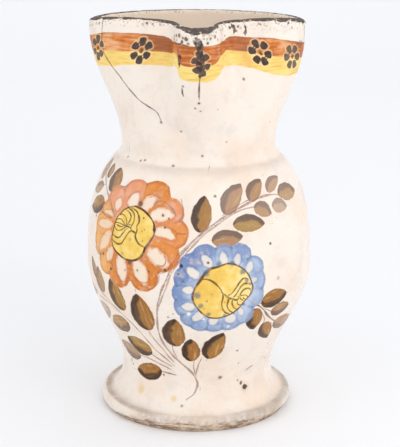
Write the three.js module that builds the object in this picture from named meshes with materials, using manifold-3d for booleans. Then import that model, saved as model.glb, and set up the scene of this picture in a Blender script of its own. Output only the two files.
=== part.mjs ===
// A hand-thrown majolica jug with a spreading foot, a pinched spout and a strap handle.
// Millimetres, +Z up, the spout towards -Y. The origin is the middle of the flat underside.

import * as THREE from "three";
import { mergeVertices } from "three/addons/utils/BufferGeometryUtils.js";
import Module from "manifold-3d";

// Heights, each measured up from the one before
const FLOOR_TO_WAIST = 31;
const WAIST_TO_BELLY = 76;
const BELLY_TO_LEDGE = 75;
const LEDGE_TO_NECK = 7;
const NECK_TO_RIM = 81;
const STRAIGHT_RIM = 6; // the neck stops widening this far below the rim

// Outer diameters
const FOOT_DIAMETER = 134.4;
const WAIST_DIAMETER = 104.6;
const BELLY_DIAMETER = 154.4;
const NECK_DIAMETER = 104.2;
const MOUTH_DIAMETER = 144.6;

// Clay thicknesses
const WALL = 6;
const RIM_WALL = 5;
const FLOOR = 10;
const FLOOR_ROUND = 18;
const RIM_ROUND = 3.5;

// The foot's rolled lip and its worn lower edge
const LIP_THICKNESS = 11;
const LIP_ROUND = 4.6;
const EDGE_WEAR = 3;

// The mouth, pressed in on both sides of the spout
const SPOUT_PROUD = 5.7; // the spout's tip stands out this far past the round of the mouth
const SPOUT_WIDTH = 29;
const ROOT_FILLET = 4.5;
const PRESS_DEPTH = 35.3; // the roots of the spout are pressed in this far from the front of the round
const PRESS_SLOPE = 22; // degrees that each pressed side turns back from the front
const PRESS_RISE = 2.8; // the pressing lifts the rim
const SPOUT_DIP = 1.5;

// The strap handle, opposite the spout
const HANDLE_BELOW_RIM = 27;
const HANDLE_BELOW_LEDGE = 36;
const HANDLE_PAST_BELLY = 48.8;
const HANDLE_WIDTH = 31;
const HANDLE_THICKNESS = 10;
const ROOT_SWELL = 1.35; // how much thicker and wider the strap is where it joins the wall

// Facets
const STEPS_PER_STATION = 3;
const HANDLE_STEPS = 20;
const STRAP_SIDES = 12;

const { degToRad: radians, smoothstep, clamp } = THREE.MathUtils;

const waistLevel = FLOOR_TO_WAIST;
const bellyLevel = waistLevel + WAIST_TO_BELLY;
const ledgeLevel = bellyLevel + BELLY_TO_LEDGE;
const neckLevel = ledgeLevel + LEDGE_TO_NECK;
const height = neckLevel + NECK_TO_RIM;

const share = (level, low, high) => clamp((level - low) / (high - low), 0, 1);
const wave = (part, power) => 0.5 - 0.5 * Math.cos(Math.PI * part ** power);

// The outer profile above the foot's lip, as the radius at a level
function outerRadius(level) {
  const waist = WAIST_DIAMETER / 2;
  const belly = BELLY_DIAMETER / 2;
  const neck = NECK_DIAMETER / 2;
  const mouth = MOUTH_DIAMETER / 2;
  if (level < waistLevel) {
    const crest = FOOT_DIAMETER / 2 - LIP_ROUND;
    const drop = 1 - share(level, LIP_THICKNESS, waistLevel);
    return waist + (crest - waist) * (1 - Math.sqrt(1 - drop * drop));
  }
  if (level < bellyLevel) {
    return waist + (belly - waist) * wave(share(level, waistLevel, bellyLevel), 0.88);
  }
  if (level < ledgeLevel) {
    const climb = share(level, bellyLevel, ledgeLevel);
    return neck + (belly - neck) * (1 - climb ** 2.7) ** (1 / 1.38);
  }
  return neck + (mouth - neck) * wave(share(level, neckLevel, height - STRAIGHT_RIM), 0.9);
}

// The cavity keeps a full wall under the ledge too, where the outside steps in
function cavityRadius(level) {
  return Math.min(outerRadius(level), outerRadius(level + WALL)) - WALL;
}

// Stations round the rim, from the spout's tip to the side and on round the back:
// each has its turn from the front in degrees, its place in plan, and how far the rim is lifted
const mouthRadius = MOUTH_DIAMETER / 2;
const halfSpout = SPOUT_WIDTH / 2;
const tipY = -mouthRadius - SPOUT_PROUD;
const rootX = halfSpout + ROOT_FILLET;
const rootY = PRESS_DEPTH - mouthRadius;
const pressedY = (x) => rootY + (x - rootX) * Math.tan(radians(PRESS_SLOPE));

function tipStation(turn, degrees, rise) {
  const aside = halfSpout * Math.sin(radians(degrees));
  const back = halfSpout * (1 - Math.cos(radians(degrees)));
  return [turn, aside, tipY + back, rise];
}

const frontStations = [
  tipStation(0, 0, -SPOUT_DIP),
  tipStation(9, 45, -SPOUT_DIP * 0.7),
  tipStation(18, 90, 0),
  [27, halfSpout, rootY - 2.4 * ROOT_FILLET, PRESS_RISE * 0.3],
  [34, rootX, rootY, PRESS_RISE * 0.65],
  [46, mouthRadius * 0.44, pressedY(mouthRadius * 0.44), PRESS_RISE * 0.95],
  [60, mouthRadius * 0.68, pressedY(mouthRadius * 0.68), PRESS_RISE],
  [75, mouthRadius * 0.89, pressedY(mouthRadius * 0.89) * 0.7, PRESS_RISE * 0.6],
];
const backStations = [90, 112.5, 135, 157.5, 180].map((turn) => [
  turn,
  mouthRadius * Math.sin(radians(turn)),
  -mouthRadius * Math.cos(radians(turn)),
  0,
]);
const oneSide = [...frontStations, ...backStations];
const otherSide = oneSide
  .slice(1, -1)
  .reverse()
  .map(([turn, x, y, rise]) => [-turn, -x, y, rise]);
const stations = [...oneSide, ...otherSide];
const columns = stations.length * STEPS_PER_STATION;

// Both plans are drawn on a unit radius; the mouth's third coordinate is the rim's lift
const closedCurve = (points) => new THREE.CatmullRomCurve3(points, true, "catmullrom", 0.5);
const mouthPlan = closedCurve(
  stations.map(([, x, y, rise]) => new THREE.Vector3(x / mouthRadius, y / mouthRadius, rise)),
);
const roundPlan = closedCurve(
  stations.map(([turn]) => new THREE.Vector3(Math.sin(radians(turn)), -Math.cos(radians(turn)), 0)),
);

// Moves a ring's points towards its inside, square to its outline in plan
function insetRing(points, inset) {
  return points.map((point, index) => {
    const before = points.at(index - 1);
    const after = points[(index + 1) % points.length];
    const along = new THREE.Vector2(after.x - before.x, after.y - before.y).normalize();
    return new THREE.Vector3(point.x - along.y * inset, point.y + along.x * inset, point.z);
  });
}

// One ring of the wall, round at the neck and below, and pressed into the mouth's plan above
function wallRing(level, inset) {
  const press = smoothstep(level, neckLevel, height);
  const radius = outerRadius(level);
  const points = Array.from({ length: columns }, (_, column) => {
    const round = roundPlan.getPoint(column / columns);
    const pressed = mouthPlan.getPoint(column / columns);
    const place = round.lerp(pressed, press);
    return new THREE.Vector3(place.x * radius, place.y * radius, level + place.z);
  });
  return insetRing(points, inset);
}

function roundRing(radius, level) {
  return Array.from({ length: columns }, (_, column) =>
    roundPlan
      .getPoint(column / columns)
      .setLength(radius)
      .setZ(level),
  );
}

// A closed skin over rings that have the same number of points, with a fan over each end
function loft(rings) {
  const count = rings[0].length;
  const points = rings.flat();
  const indices = [];
  for (let row = 0; row + 1 < rings.length; row++) {
    for (let column = 0; column < count; column++) {
      const a = row * count + column;
      const b = row * count + ((column + 1) % count);
      indices.push(a, b, b + count, a, b + count, a + count);
    }
  }
  const middle = (ring) =>
    ring.reduce((sum, point) => sum.add(point), new THREE.Vector3()).divideScalar(count);
  const lastRing = points.length - count;
  const firstMiddle = points.push(middle(rings[0])) - 1;
  const lastMiddle = points.push(middle(rings.at(-1))) - 1;
  for (let column = 0; column < count; column++) {
    const next = (column + 1) % count;
    indices.push(firstMiddle, next, column);
    indices.push(lastMiddle, lastRing + column, lastRing + next);
  }
  return new THREE.BufferGeometry().setFromPoints(points).setIndex(indices);
}

// Levels from low to high in equal steps, both ends included
const spread = (low, high, steps) =>
  Array.from({ length: steps + 1 }, (_, step) => low + ((high - low) * step) / steps);

// The foot has a worn lower edge, then its rolled lip as an arc up to the crest
function footRings() {
  const outer = FOOT_DIAMETER / 2;
  const lip = [0, 30, 60, 90].map((degrees) =>
    roundRing(
      outer - LIP_ROUND * (1 - Math.cos(radians(degrees))),
      LIP_THICKNESS - LIP_ROUND * (1 - Math.sin(radians(degrees))),
    ),
  );
  return [roundRing(outer - EDGE_WEAR, 0), roundRing(outer - EDGE_WEAR * 0.2, EDGE_WEAR), ...lip];
}

function wallRings() {
  const levels = [
    ...spread(LIP_THICKNESS, waistLevel, 4).slice(1),
    ...spread(waistLevel, bellyLevel, 5).slice(1),
    ...spread(bellyLevel, ledgeLevel, 6).slice(1, -1),
    ledgeLevel - BELLY_TO_LEDGE * 0.05,
    ledgeLevel,
    ...spread(neckLevel, height - RIM_ROUND, 6),
  ];
  return levels.map((level) => wallRing(level, 0));
}

// The rim rolls over from the outer face to the inner one
function rimRings() {
  return [45, 90, 135].map((degrees) =>
    wallRing(
      height - RIM_ROUND * (1 - Math.sin(radians(degrees))),
      (RIM_WALL / 2) * (1 - Math.cos(radians(degrees))),
    ),
  );
}

// The cavity from the rim down to the floor, rounded into the wall, and grown outwards by extra
function cavityRings(extra) {
  const roundTop = FLOOR + FLOOR_ROUND;
  const levels = [
    ...spread(height - 3 * RIM_ROUND, neckLevel, 4),
    ...spread(ledgeLevel, bellyLevel, 4),
    ...spread(bellyLevel, roundTop, 4).slice(1, -1),
  ];
  const wall = levels.map((level) => wallRing(level, outerRadius(level) - cavityRadius(level) - extra));
  const bowl = [90, 60, 30, 0].map((degrees) =>
    roundRing(
      cavityRadius(roundTop) + extra - FLOOR_ROUND * (1 - Math.sin(radians(degrees))),
      roundTop - extra - FLOOR_ROUND * Math.cos(radians(degrees)),
    ),
  );
  return [wallRing(height - RIM_ROUND, RIM_WALL - extra), ...wall, ...bowl];
}

// The strap runs from the neck out, down and back to the shoulder, in the plane x = 0
function handleRings() {
  const topLevel = height - HANDLE_BELOW_RIM;
  const bottomLevel = ledgeLevel - HANDLE_BELOW_LEDGE;
  const drop = topLevel - bottomLevel;
  const top = outerRadius(topLevel);
  const bottom = outerRadius(bottomLevel);
  const reach = BELLY_DIAMETER / 2 + HANDLE_PAST_BELLY - HANDLE_THICKNESS / 2;
  const middleLine = [
    [top - 2 * WALL, topLevel - WALL],
    [top, topLevel],
    [top + (reach - top) * 0.45, topLevel + drop * 0.08],
    [top + (reach - top) * 0.88, topLevel - drop * 0.04],
    [reach, topLevel - drop * 0.3],
    [reach * 0.97, topLevel - drop * 0.58],
    [bottom + (reach - bottom) * 0.55, bottomLevel + drop * 0.17],
    [bottom, bottomLevel],
    [bottom - 2 * WALL, bottomLevel - WALL],
  ].map(([y, z]) => new THREE.Vector3(0, y, z));
  const path = new THREE.CatmullRomCurve3(middleLine, false, "centripetal");
  const across = new THREE.Vector3(1, 0, 0);
  const flatten = (value) => Math.sign(value) * Math.abs(value) ** 0.75;
  return spread(0, 1, HANDLE_STEPS).map((along) => {
    const swell = 1 + (ROOT_SWELL - 1) * Math.abs(2 * along - 1) ** 3;
    const centre = path.getPointAt(along);
    const outward = path.getTangentAt(along).cross(across);
    return Array.from({ length: STRAP_SIDES }, (_, side) => {
      const turn = (side / STRAP_SIDES) * 2 * Math.PI;
      return centre
        .clone()
        .addScaledVector(across, (flatten(Math.cos(turn)) * HANDLE_WIDTH * swell) / 2)
        .addScaledVector(outward, (flatten(Math.sin(turn)) * HANDLE_THICKNESS * swell) / 2);
    });
  });
}

const wasm = await Module();
wasm.setup();

function toSolid(geometry) {
  const merged = mergeVertices(geometry, 1e-3);
  return new wasm.Manifold(
    new wasm.Mesh({
      numProp: 3,
      vertProperties: merged.getAttribute("position").array,
      triVerts: new Uint32Array(merged.getIndex().array),
    }),
  );
}

function toGeometry(solid) {
  const mesh = solid.getMesh();
  const geometry = new THREE.BufferGeometry();
  geometry.setAttribute("position", new THREE.BufferAttribute(mesh.vertProperties, 3));
  geometry.setIndex(new THREE.BufferAttribute(mesh.triVerts, 1));
  geometry.computeVertexNormals();
  return geometry;
}

const vessel = toSolid(loft([...footRings(), ...wallRings(), ...rimRings(), ...cavityRings(0)]));

// The strap ends in the middle of the wall, so it never reaches the cavity
const cavityAndHalfWall = toSolid(loft(cavityRings(WALL / 2).reverse()));
const strap = toSolid(loft(handleRings())).subtract(cavityAndHalfWall);

const glaze = new THREE.MeshStandardMaterial({ color: 0xf0e0d2, roughness: 0.3, metalness: 0 });
const jug = new THREE.Mesh(toGeometry(vessel.add(strap)), glaze);
jug.name = "jug";

const model = new THREE.Group();
model.add(jug);

export default model;
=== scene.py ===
# A hand-thrown, hand-painted majolica jug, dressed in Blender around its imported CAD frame.
# Lengths are millimetres while the form is worked out, and metres in the finished mesh.
import math

import bpy
import numpy as np
from mathutils import Matrix, Vector, noise


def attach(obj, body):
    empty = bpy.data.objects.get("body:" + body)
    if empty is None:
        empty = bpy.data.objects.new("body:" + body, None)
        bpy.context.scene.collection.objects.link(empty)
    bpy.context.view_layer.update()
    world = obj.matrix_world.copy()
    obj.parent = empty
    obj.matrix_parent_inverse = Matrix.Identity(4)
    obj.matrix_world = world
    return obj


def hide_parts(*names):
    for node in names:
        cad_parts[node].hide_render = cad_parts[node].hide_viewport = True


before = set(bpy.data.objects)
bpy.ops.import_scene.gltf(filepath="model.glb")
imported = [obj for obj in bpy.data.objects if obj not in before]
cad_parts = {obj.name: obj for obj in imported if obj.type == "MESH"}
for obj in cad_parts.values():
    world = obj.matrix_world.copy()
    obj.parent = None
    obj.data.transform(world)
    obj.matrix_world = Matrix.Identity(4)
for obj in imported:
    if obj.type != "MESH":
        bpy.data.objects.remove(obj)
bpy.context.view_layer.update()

MM = 0.001

# The clay form, with the same driving sizes as the CAD part
WAIST_LEVEL = 31
BELLY_LEVEL = 107
SHOULDER_LEVEL = 185
NECK_LEVEL = 189
HEIGHT = 270
STRAIGHT_RIM = 6
FOOT_DIAMETER = 134.4
WAIST_DIAMETER = 104.6
BELLY_DIAMETER = 154.4
NECK_DIAMETER = 104.2
MOUTH_DIAMETER = 144.6
WALL = 6
RIM_WALL = 5
RIM_ROUND = 3.5
FLOOR = 10
FLOOR_ROUND = 18
LIP_THICKNESS = 11
LIP_ROUND = 4.6
EDGE_WEAR = 3
# How far the shoulder's curve runs in under the neck, and the reach of the soft crease there
NECK_TUCK = 5

# The mouth, pressed in on both sides of the spout
SPOUT_PROUD = 5.7
SPOUT_WIDTH = 29
ROOT_FILLET = 4.5
PRESS_DEPTH = 35.3
PRESS_SLOPE = 22
PRESS_RISE = 2.8
SPOUT_DIP = 1.5

# The strap handle, opposite the spout
HANDLE_TOP = 243
HANDLE_BOTTOM = 146
HANDLE_REACH = 121
HANDLE_WIDTH = 31
HANDLE_THICKNESS = 10

# The axis of the thrown pot wanders to the side: (level, sideways)
SWAY = [(0, -1.35), (20, -0.66), (60, 0.45), (120, 0.45), (180, -0.28), (225, -0.16), (270, -1.59)]

# Mesh spacing: the painted front is finer than the back
FRONT_COLUMNS = 100
FRONT_STEP = 0.95
BACK_STEP = 2.6
PAINTED_ROW = 1.12
PLAIN_ROW = 2.2

# The pouring edge is worn to a slope that rises inward
SPOUT_LIP_RISE = 4.2
SPOUT_LIP_FLAT = 9
SPOUT_LIP_END = 24

# Bare worn clay at the rim, as (turn, reach along the profile from the crest), outside then inside
RIM_WEAR_OUTSIDE = [(-180, 1.2), (-120, 1.6), (-95, 3.0), (-80, 2.8), (-60, 2.3), (-40, 2.4), (-30, 2.6),
                    (-22, 1.3), (-13, 0.9), (-9.5, 1.0), (-6, 2.2), (0, 2.7), (6, 2.4), (9, 1.4), (13, 1.0),
                    (20, 1.3), (28, 2.0),
                    (35, 2.5), (45, 2.8), (58, 3.2), (75, 3.6), (90, 3.5), (115, 1.8), (180, 1.2)]
RIM_WEAR_INSIDE = [(-180, 1.1), (-120, 1.4), (-60, 1.6), (-22, 1.2), (-10, 0.9), (0, 1.1), (10, 0.9),
                   (22, 1.2), (60, 2.0), (95, 1.5),
                   (125, 1.0), (180, 1.1)]
# Bare clay at the foot's edge, as (turn, height above the floor)
FOOT_WEAR = [(-180, 3.0), (-110, 1.8), (-78, 1.5), (-58, 1.8), (-45, 3.6), (-34, 5.6), (-15, 6.1), (10, 6.1),
             (35, 5.9), (52, 5.2), (66, 3.8), (80, 2.4), (110, 1.8), (180, 3.0)]
FOOT_GROOVE_RADIUS = 61.5
# The radius of the line of dirt and painted shade on the foot
FOOT_DIRT_SHADE_RADIUS = 64
# The lip of the foot is a little flat in front
FOOT_FLAT = 1.8
FOOT_FLAT_HALF = 48
# The faint shade where the neck meets the shoulder
CREASE_LEVEL = 179

# Beyond any distance, and the least weight, that the painting uses
FAR = 99.0
TINY = 1e-9
# How far a leaf or petal is looked for, in its own half lengths and half widths
STROKE_LIMIT = 9.0
# Spacing of the points along a drawn line, how far it is looked for, and the margin round it
LINE_STEP = 0.7
LINE_REACH = 5.0
LINE_MARGIN = (6, 5)
OUTLINE_REACH = 45
# Darkness, thinness and tint where there is no leaf
PLAIN_LEAF = (1, 0, 0)

# The flat picture for baking: the vessel fills its left part, and the strap the right
UNWRAP_SPLIT = 0.9
UNWRAP_STRAP = 0.92
UNWRAP_MARGIN = 0.01
INSIDE_SHARE = 0.3
UNDERSIDE_SHARE = 0.25


def share(level, low, high):
    return np.clip((level - low) / (high - low), 0, 1)


def wave(part, power):
    return 0.5 - 0.5 * np.cos(np.pi * part**power)


def smoothstep(level, low, high):
    part = share(level, low, high)
    return part * part * (3 - 2 * part)


def smooth_max(a, b, reach):
    overlap = np.clip(reach - abs(a - b), 0, None) / reach
    return np.maximum(a, b) + overlap**2 * reach / 4


def lengths_along(points):
    """The distance along a run of points to each of them."""
    return np.concatenate([[0], np.cumsum(np.linalg.norm(np.diff(points, axis=0), axis=1))])


def outer_radius(level):
    """The outer profile above the foot's lip."""
    level = np.asarray(level, float)
    waist, belly, neck, mouth = (
        d / 2 for d in (WAIST_DIAMETER, BELLY_DIAMETER, NECK_DIAMETER, MOUTH_DIAMETER)
    )
    crest = FOOT_DIAMETER / 2 - LIP_ROUND
    drop = 1 - share(level, LIP_THICKNESS, WAIST_LEVEL)
    flare = waist + (crest - waist) * (1 - np.sqrt(1 - drop**2))
    rising = waist + (belly - waist) * wave(share(level, WAIST_LEVEL, BELLY_LEVEL), 0.88)
    climb = share(level, BELLY_LEVEL, SHOULDER_LEVEL)
    under = neck - NECK_TUCK
    shoulder = under + (belly - under) * (1 - climb**2.7) ** (1 / 1.38)
    throat = neck + (mouth - neck) * wave(share(level, NECK_LEVEL, HEIGHT - STRAIGHT_RIM), 0.9)
    upper = smooth_max(shoulder, throat, NECK_TUCK)
    return np.where(level < WAIST_LEVEL, flare, np.where(level < BELLY_LEVEL, rising, upper))


def cavity_radius(level):
    return np.minimum(outer_radius(level), outer_radius(level + WALL)) - WALL


def mouth_stations():
    """Turn, x, y and lift of the rim at places round the pressed mouth."""
    mouth = MOUTH_DIAMETER / 2
    half = SPOUT_WIDTH / 2
    tip_y = -mouth - SPOUT_PROUD
    root_x = half + ROOT_FILLET
    root_y = PRESS_DEPTH - mouth
    diagonal = half * math.sqrt(0.5)

    def pressed(x):
        return root_y + (x - root_x) * math.tan(math.radians(PRESS_SLOPE))

    side = [
        (0, 0, tip_y, -SPOUT_DIP),
        (9, diagonal, tip_y + half - diagonal, -SPOUT_DIP * 0.7),
        (18, half, tip_y + half, 0),
        (27, half, root_y - 2.4 * ROOT_FILLET, PRESS_RISE * 0.3),
        (34, root_x, root_y, PRESS_RISE * 0.65),
        (46, mouth * 0.44, pressed(mouth * 0.44), PRESS_RISE * 0.95),
        (60, mouth * 0.68, pressed(mouth * 0.68), PRESS_RISE),
        (75, mouth * 0.89, pressed(mouth * 0.89) * 0.7, PRESS_RISE * 0.6),
    ]
    for turn in (90, 112.5, 135, 157.5, 180):
        angle = math.radians(turn)
        side.append((turn, mouth * math.sin(angle), -mouth * math.cos(angle), 0))
    other = [(-turn, -x, y, rise) for turn, x, y, rise in side[-2:0:-1]]
    return np.array(side + other, float)


def catmull_rom(p0, p1, p2, p3, t):
    return p1 + 0.5 * t * (p2 - p0 + t * (2 * p0 - 5 * p1 + 4 * p2 - p3 + t * (3 * (p1 - p2) + p3 - p0)))


def closed_spline(points, places):
    """The closed Catmull-Rom curve through points, at places from 0 to 1."""
    count = len(points)
    where = places * count
    index = np.floor(where).astype(int) % count
    t = (where - np.floor(where))[:, None]
    return catmull_rom(*(points[(index + k) % count] for k in (-1, 0, 1, 2)), t)


def station_turns():
    """The turns of the mouth's stations from 0 to 360, and their even shares of the plan."""
    turns = np.append(mouth_stations()[:, 0] % 360, 360)
    return turns, np.linspace(0, 1, len(turns))


def column_places():
    """Places of the mesh columns on the closed plan, close together in front."""
    front = np.arange(-FRONT_COLUMNS, FRONT_COLUMNS) * FRONT_STEP
    back = np.arange(-front[0], 360 + front[0], BACK_STEP)
    turns = np.concatenate([front, back]) % 360
    turns.sort()
    return np.interp(turns, *station_turns())


def plans(places):
    """The round plan and the pressed one, on a unit radius, with the rim's lift as third number."""
    stations = mouth_stations()
    turns = np.radians(stations[:, 0])
    mouth = MOUTH_DIAMETER / 2
    pressed = np.stack([stations[:, 1] / mouth, stations[:, 2] / mouth, stations[:, 3]], 1)
    rounded = np.stack([np.sin(turns), -np.cos(turns), np.zeros(len(turns))], 1)
    return closed_spline(rounded, places), closed_spline(pressed, places)


def wall_rings(levels, insets, places):
    """Rings at the levels, moved in by the insets, as an array of ring, column and x, y, z."""
    levels = np.asarray(levels, float)
    rounded, pressed = plans(places)
    press = smoothstep(levels, NECK_LEVEL, HEIGHT)[:, None, None]
    plan = rounded * (1 - press) + pressed * press
    radius = outer_radius(levels)[:, None]
    rings = np.stack(
        [plan[..., 0] * radius, plan[..., 1] * radius, levels[:, None] + plan[..., 2]], -1
    )
    along = np.roll(rings, -1, 1) - np.roll(rings, 1, 1)
    along = along[..., :2] / np.linalg.norm(along[..., :2], axis=-1, keepdims=True)
    insets = (np.asarray(insets, float) * np.ones(len(levels)))[:, None]
    rings[..., 0] -= along[..., 1] * insets
    rings[..., 1] += along[..., 0] * insets
    return rings


def round_rings(radii, levels, places):
    rounded, _ = plans(places)
    direction = rounded[:, :2] / np.linalg.norm(rounded[:, :2], axis=1, keepdims=True)
    radii, levels = np.broadcast_arrays(np.asarray(radii, float), np.asarray(levels, float))
    rings = np.zeros((len(radii), len(places), 3))
    rings[..., :2] = direction[None] * radii[:, None, None]
    rings[..., 2] = levels[:, None]
    return rings


def wall_levels():
    """Levels from the waist to just under the rim, spaced along the profile."""
    fine = np.arange(WAIST_LEVEL, HEIGHT - RIM_ROUND + 0.01, 0.25)
    lengths = np.hypot(np.diff(fine), np.diff(outer_radius(fine)))
    middles = (fine[1:] + fine[:-1]) / 2
    painted = (middles < 178) | (middles > 231)
    rows = np.concatenate([[0], np.cumsum(lengths / np.where(painted, PAINTED_ROW, PLAIN_ROW))])
    return np.interp(np.linspace(0, rows[-1], int(rows[-1]) + 1), rows, fine)


def arc(start, end, steps):
    return np.radians(np.linspace(start, end, steps + 1))


def vessel_rings(places):
    """All rings from the middle of the underside out, up, over the rim and down inside to the floor."""
    outer = FOOT_DIAMETER / 2
    under = round_rings(np.array([0.12, 0.35, 0.6, 0.8, 0.93]) * (outer - EDGE_WEAR), 0, places)
    edge_levels = np.array([0, 0.7, 1.5, 2.3, 3.2, 4.3, 5.3])
    edge_inset = EDGE_WEAR * (1 - share(edge_levels, 0, 6)) ** 2.2
    edge = round_rings(outer - edge_inset, edge_levels, places)
    turn = arc(0, 90, 9)
    lip = round_rings(
        outer - LIP_ROUND * (1 - np.cos(turn)), LIP_THICKNESS - LIP_ROUND * (1 - np.sin(turn)), places
    )
    drop = np.sin(arc(84, 0, 16))
    flare = wall_rings(WAIST_LEVEL - (WAIST_LEVEL - LIP_THICKNESS) * drop, 0, places)
    wall = wall_rings(wall_levels()[1:], 0, places)
    over = arc(12, 168, 12)
    rim = wall_rings(
        HEIGHT - RIM_ROUND * (1 - np.sin(over)), RIM_WALL / 2 * (1 - np.cos(over)), places
    )
    inner_levels = np.linspace(HEIGHT - RIM_ROUND, FLOOR + FLOOR_ROUND, 50)
    full = outer_radius(inner_levels) - cavity_radius(inner_levels)
    thin = share(inner_levels, HEIGHT - 3 * RIM_ROUND, HEIGHT - RIM_ROUND)
    inner = wall_rings(inner_levels, full * (1 - thin) + RIM_WALL * thin, places)
    lift = spout_lift(places)
    rim[..., 2] += lift * ((1 - np.cos(over)) / 2)[:, None]
    inner[..., 2] += lift * np.exp(-(HEIGHT - RIM_ROUND - inner_levels) / 6)[:, None]
    bowl_turn = arc(84, 0, 9)
    bowl_radius = cavity_radius(np.array(float(FLOOR + FLOOR_ROUND)))
    bowl = round_rings(
        bowl_radius - FLOOR_ROUND * (1 - np.sin(bowl_turn)),
        FLOOR + FLOOR_ROUND * (1 - np.cos(bowl_turn)),
        places,
    )
    floor = round_rings(np.array([0.8, 0.55, 0.3, 0.1]) * (bowl_radius - FLOOR_ROUND), FLOOR, places)
    parts = [under, edge, lip, flare, wall, rim, inner, bowl, floor]
    starts = np.cumsum([0] + [len(part) for part in parts])
    names = ["under", "edge", "lip", "flare", "wall", "rim", "inner", "bowl", "floor", "end"]
    return np.concatenate(parts), dict(zip(names, starts))


def column_turns(places):
    known, shares = station_turns()
    turns = np.interp(places, shares, known)
    return np.where(turns > 180, turns - 360, turns)


def spout_lift(places):
    aside = np.abs(column_turns(places))
    return SPOUT_LIP_RISE * (1 - smoothstep(aside, SPOUT_LIP_FLAT, SPOUT_LIP_END))


def by_turn(turns, table):
    known, values = zip(*table)
    return np.interp(turns, known, values)


def mean_profile(rings):
    """Each ring's mean radius and level."""
    return np.stack([np.hypot(rings[..., 0], rings[..., 1]).mean(1), rings[..., 2].mean(1)], 1)


def grid_normals(rings):
    along = np.roll(rings, -1, 1) - np.roll(rings, 1, 1)
    up = np.gradient(rings, axis=0)
    normals = np.cross(along, up)
    return normals / np.maximum(np.linalg.norm(normals, axis=-1, keepdims=True), TINY)


def noise_at(points, scale, seed, stretch=(1, 1, 1)):
    """Smooth noise from -1 to 1 at each point, for features about one scale wide."""
    shift = Vector((seed * 17.3, seed * 5.1, seed * 31.7))
    squeeze = Vector((stretch[0] / scale, stretch[1] / scale, stretch[2] / scale))
    flat = points.reshape(-1, 3)
    values = [noise.noise(Vector(p) * squeeze + shift) for p in flat]
    return np.array(values).reshape(points.shape[:-1])


def wear_fields(rings, at, places):
    """How near each point is to the bare rim and to the bare foot, where 1 is the ragged border."""
    up = lengths_along(mean_profile(rings))
    crest = (at["rim"] + at["inner"] - 1) / 2
    off = (up - np.interp(crest, np.arange(len(up)), up))[:, None]
    turns = column_turns(places)[None]
    reach = np.where(off < 0, by_turn(turns, RIM_WEAR_OUTSIDE), by_turn(turns, RIM_WEAR_INSIDE))
    ragged = noise_at(rings, 8, 5, (1, 1, 1.6)) * 0.4 + noise_at(rings, 3, 6) * 0.2
    rim = np.abs(off) / reach + ragged * 0.7
    rim[: at["wall"]] = FAR
    streaks = noise_at(rings, 9, 7, (0.6, 0.6, 1.5)) * 0.3 + noise_at(rings, 3, 8) * 0.22
    foot = rings[..., 2] / by_turn(turns, FOOT_WEAR) + streaks
    foot[at["wall"] :] = FAR
    return rim, foot


def thrown(rings, at, rim, foot):
    """The hand-thrown unevenness, and the glaze and clay lost at the rim and the foot's edge."""
    normals = grid_normals(rings)
    level = rings[..., 2]
    broad = noise_at(rings, 46, 1) * 0.45
    ridges = noise_at(rings, 7, 2, (0.12, 0.12, 1)) * 0.14
    sides = (level > 6) & (level < 264)
    moved = np.where(sides, broad + ridges, 0)
    groove = np.exp(-(((np.hypot(rings[..., 0], rings[..., 1]) - FOOT_GROOVE_RADIUS) / 1.9) ** 2))
    foot_top = np.zeros(len(rings))
    foot_top[at["lip"] : at["wall"]] = 1
    moved -= groove * foot_top[:, None] * 0.6
    chip = np.clip(noise_at(rings, 5, 3) + 0.4 * noise_at(rings, 2.2, 4), 0, 1)
    edge = 1.7 * (1 - smoothstep(level, 0, 4.5))
    moved -= (0.45 + 1.0 * chip + edge) * (1 - smoothstep(foot, 0.85, 1.15))
    moved -= (0.12 + 0.35 * chip) * (1 - smoothstep(rim, 0.8, 1.2))
    shaped = rings + normals * moved[..., None]
    turns = np.degrees(np.arctan2(rings[..., 0], -rings[..., 1]))
    flat = FOOT_FLAT * np.exp(-((turns / FOOT_FLAT_HALF) ** 2)) * (1 - smoothstep(level, 8, 18))
    shaped[..., :2] *= (1 - flat / (FOOT_DIAMETER / 2))[..., None]
    shaped[..., 2] = np.clip(shaped[..., 2], 0, HEIGHT + PRESS_RISE + 0.8)
    shaped[: at["edge"] + 1, :, 2] = 0
    return shaped


def swayed(points):
    points = points.copy()
    points[..., 0] += np.interp(points[..., 2], *zip(*SWAY))
    return points


def open_spline(points, steps):
    """Points along the Catmull-Rom curve through points, with its ends straight."""
    points = np.asarray(points, float)
    padded = np.concatenate([[2 * points[0] - points[1]], points, [2 * points[-1] - points[-2]]])
    where = np.linspace(0, len(points) - 1 - 1e-6, steps)
    index = where.astype(int)
    t = (where - index)[:, None]
    return catmull_rom(*(padded[index + k] for k in range(4)), t)


def even_line(points, step):
    """The curve through points, at even distances along it."""
    fine = open_spline(points, 60 * len(points))
    lengths = lengths_along(fine)
    at = np.linspace(0, lengths[-1], max(int(round(lengths[-1] / step)), 1) + 1)
    return np.stack([np.interp(at, lengths, fine[:, k]) for k in range(fine.shape[1])], 1)


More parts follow.
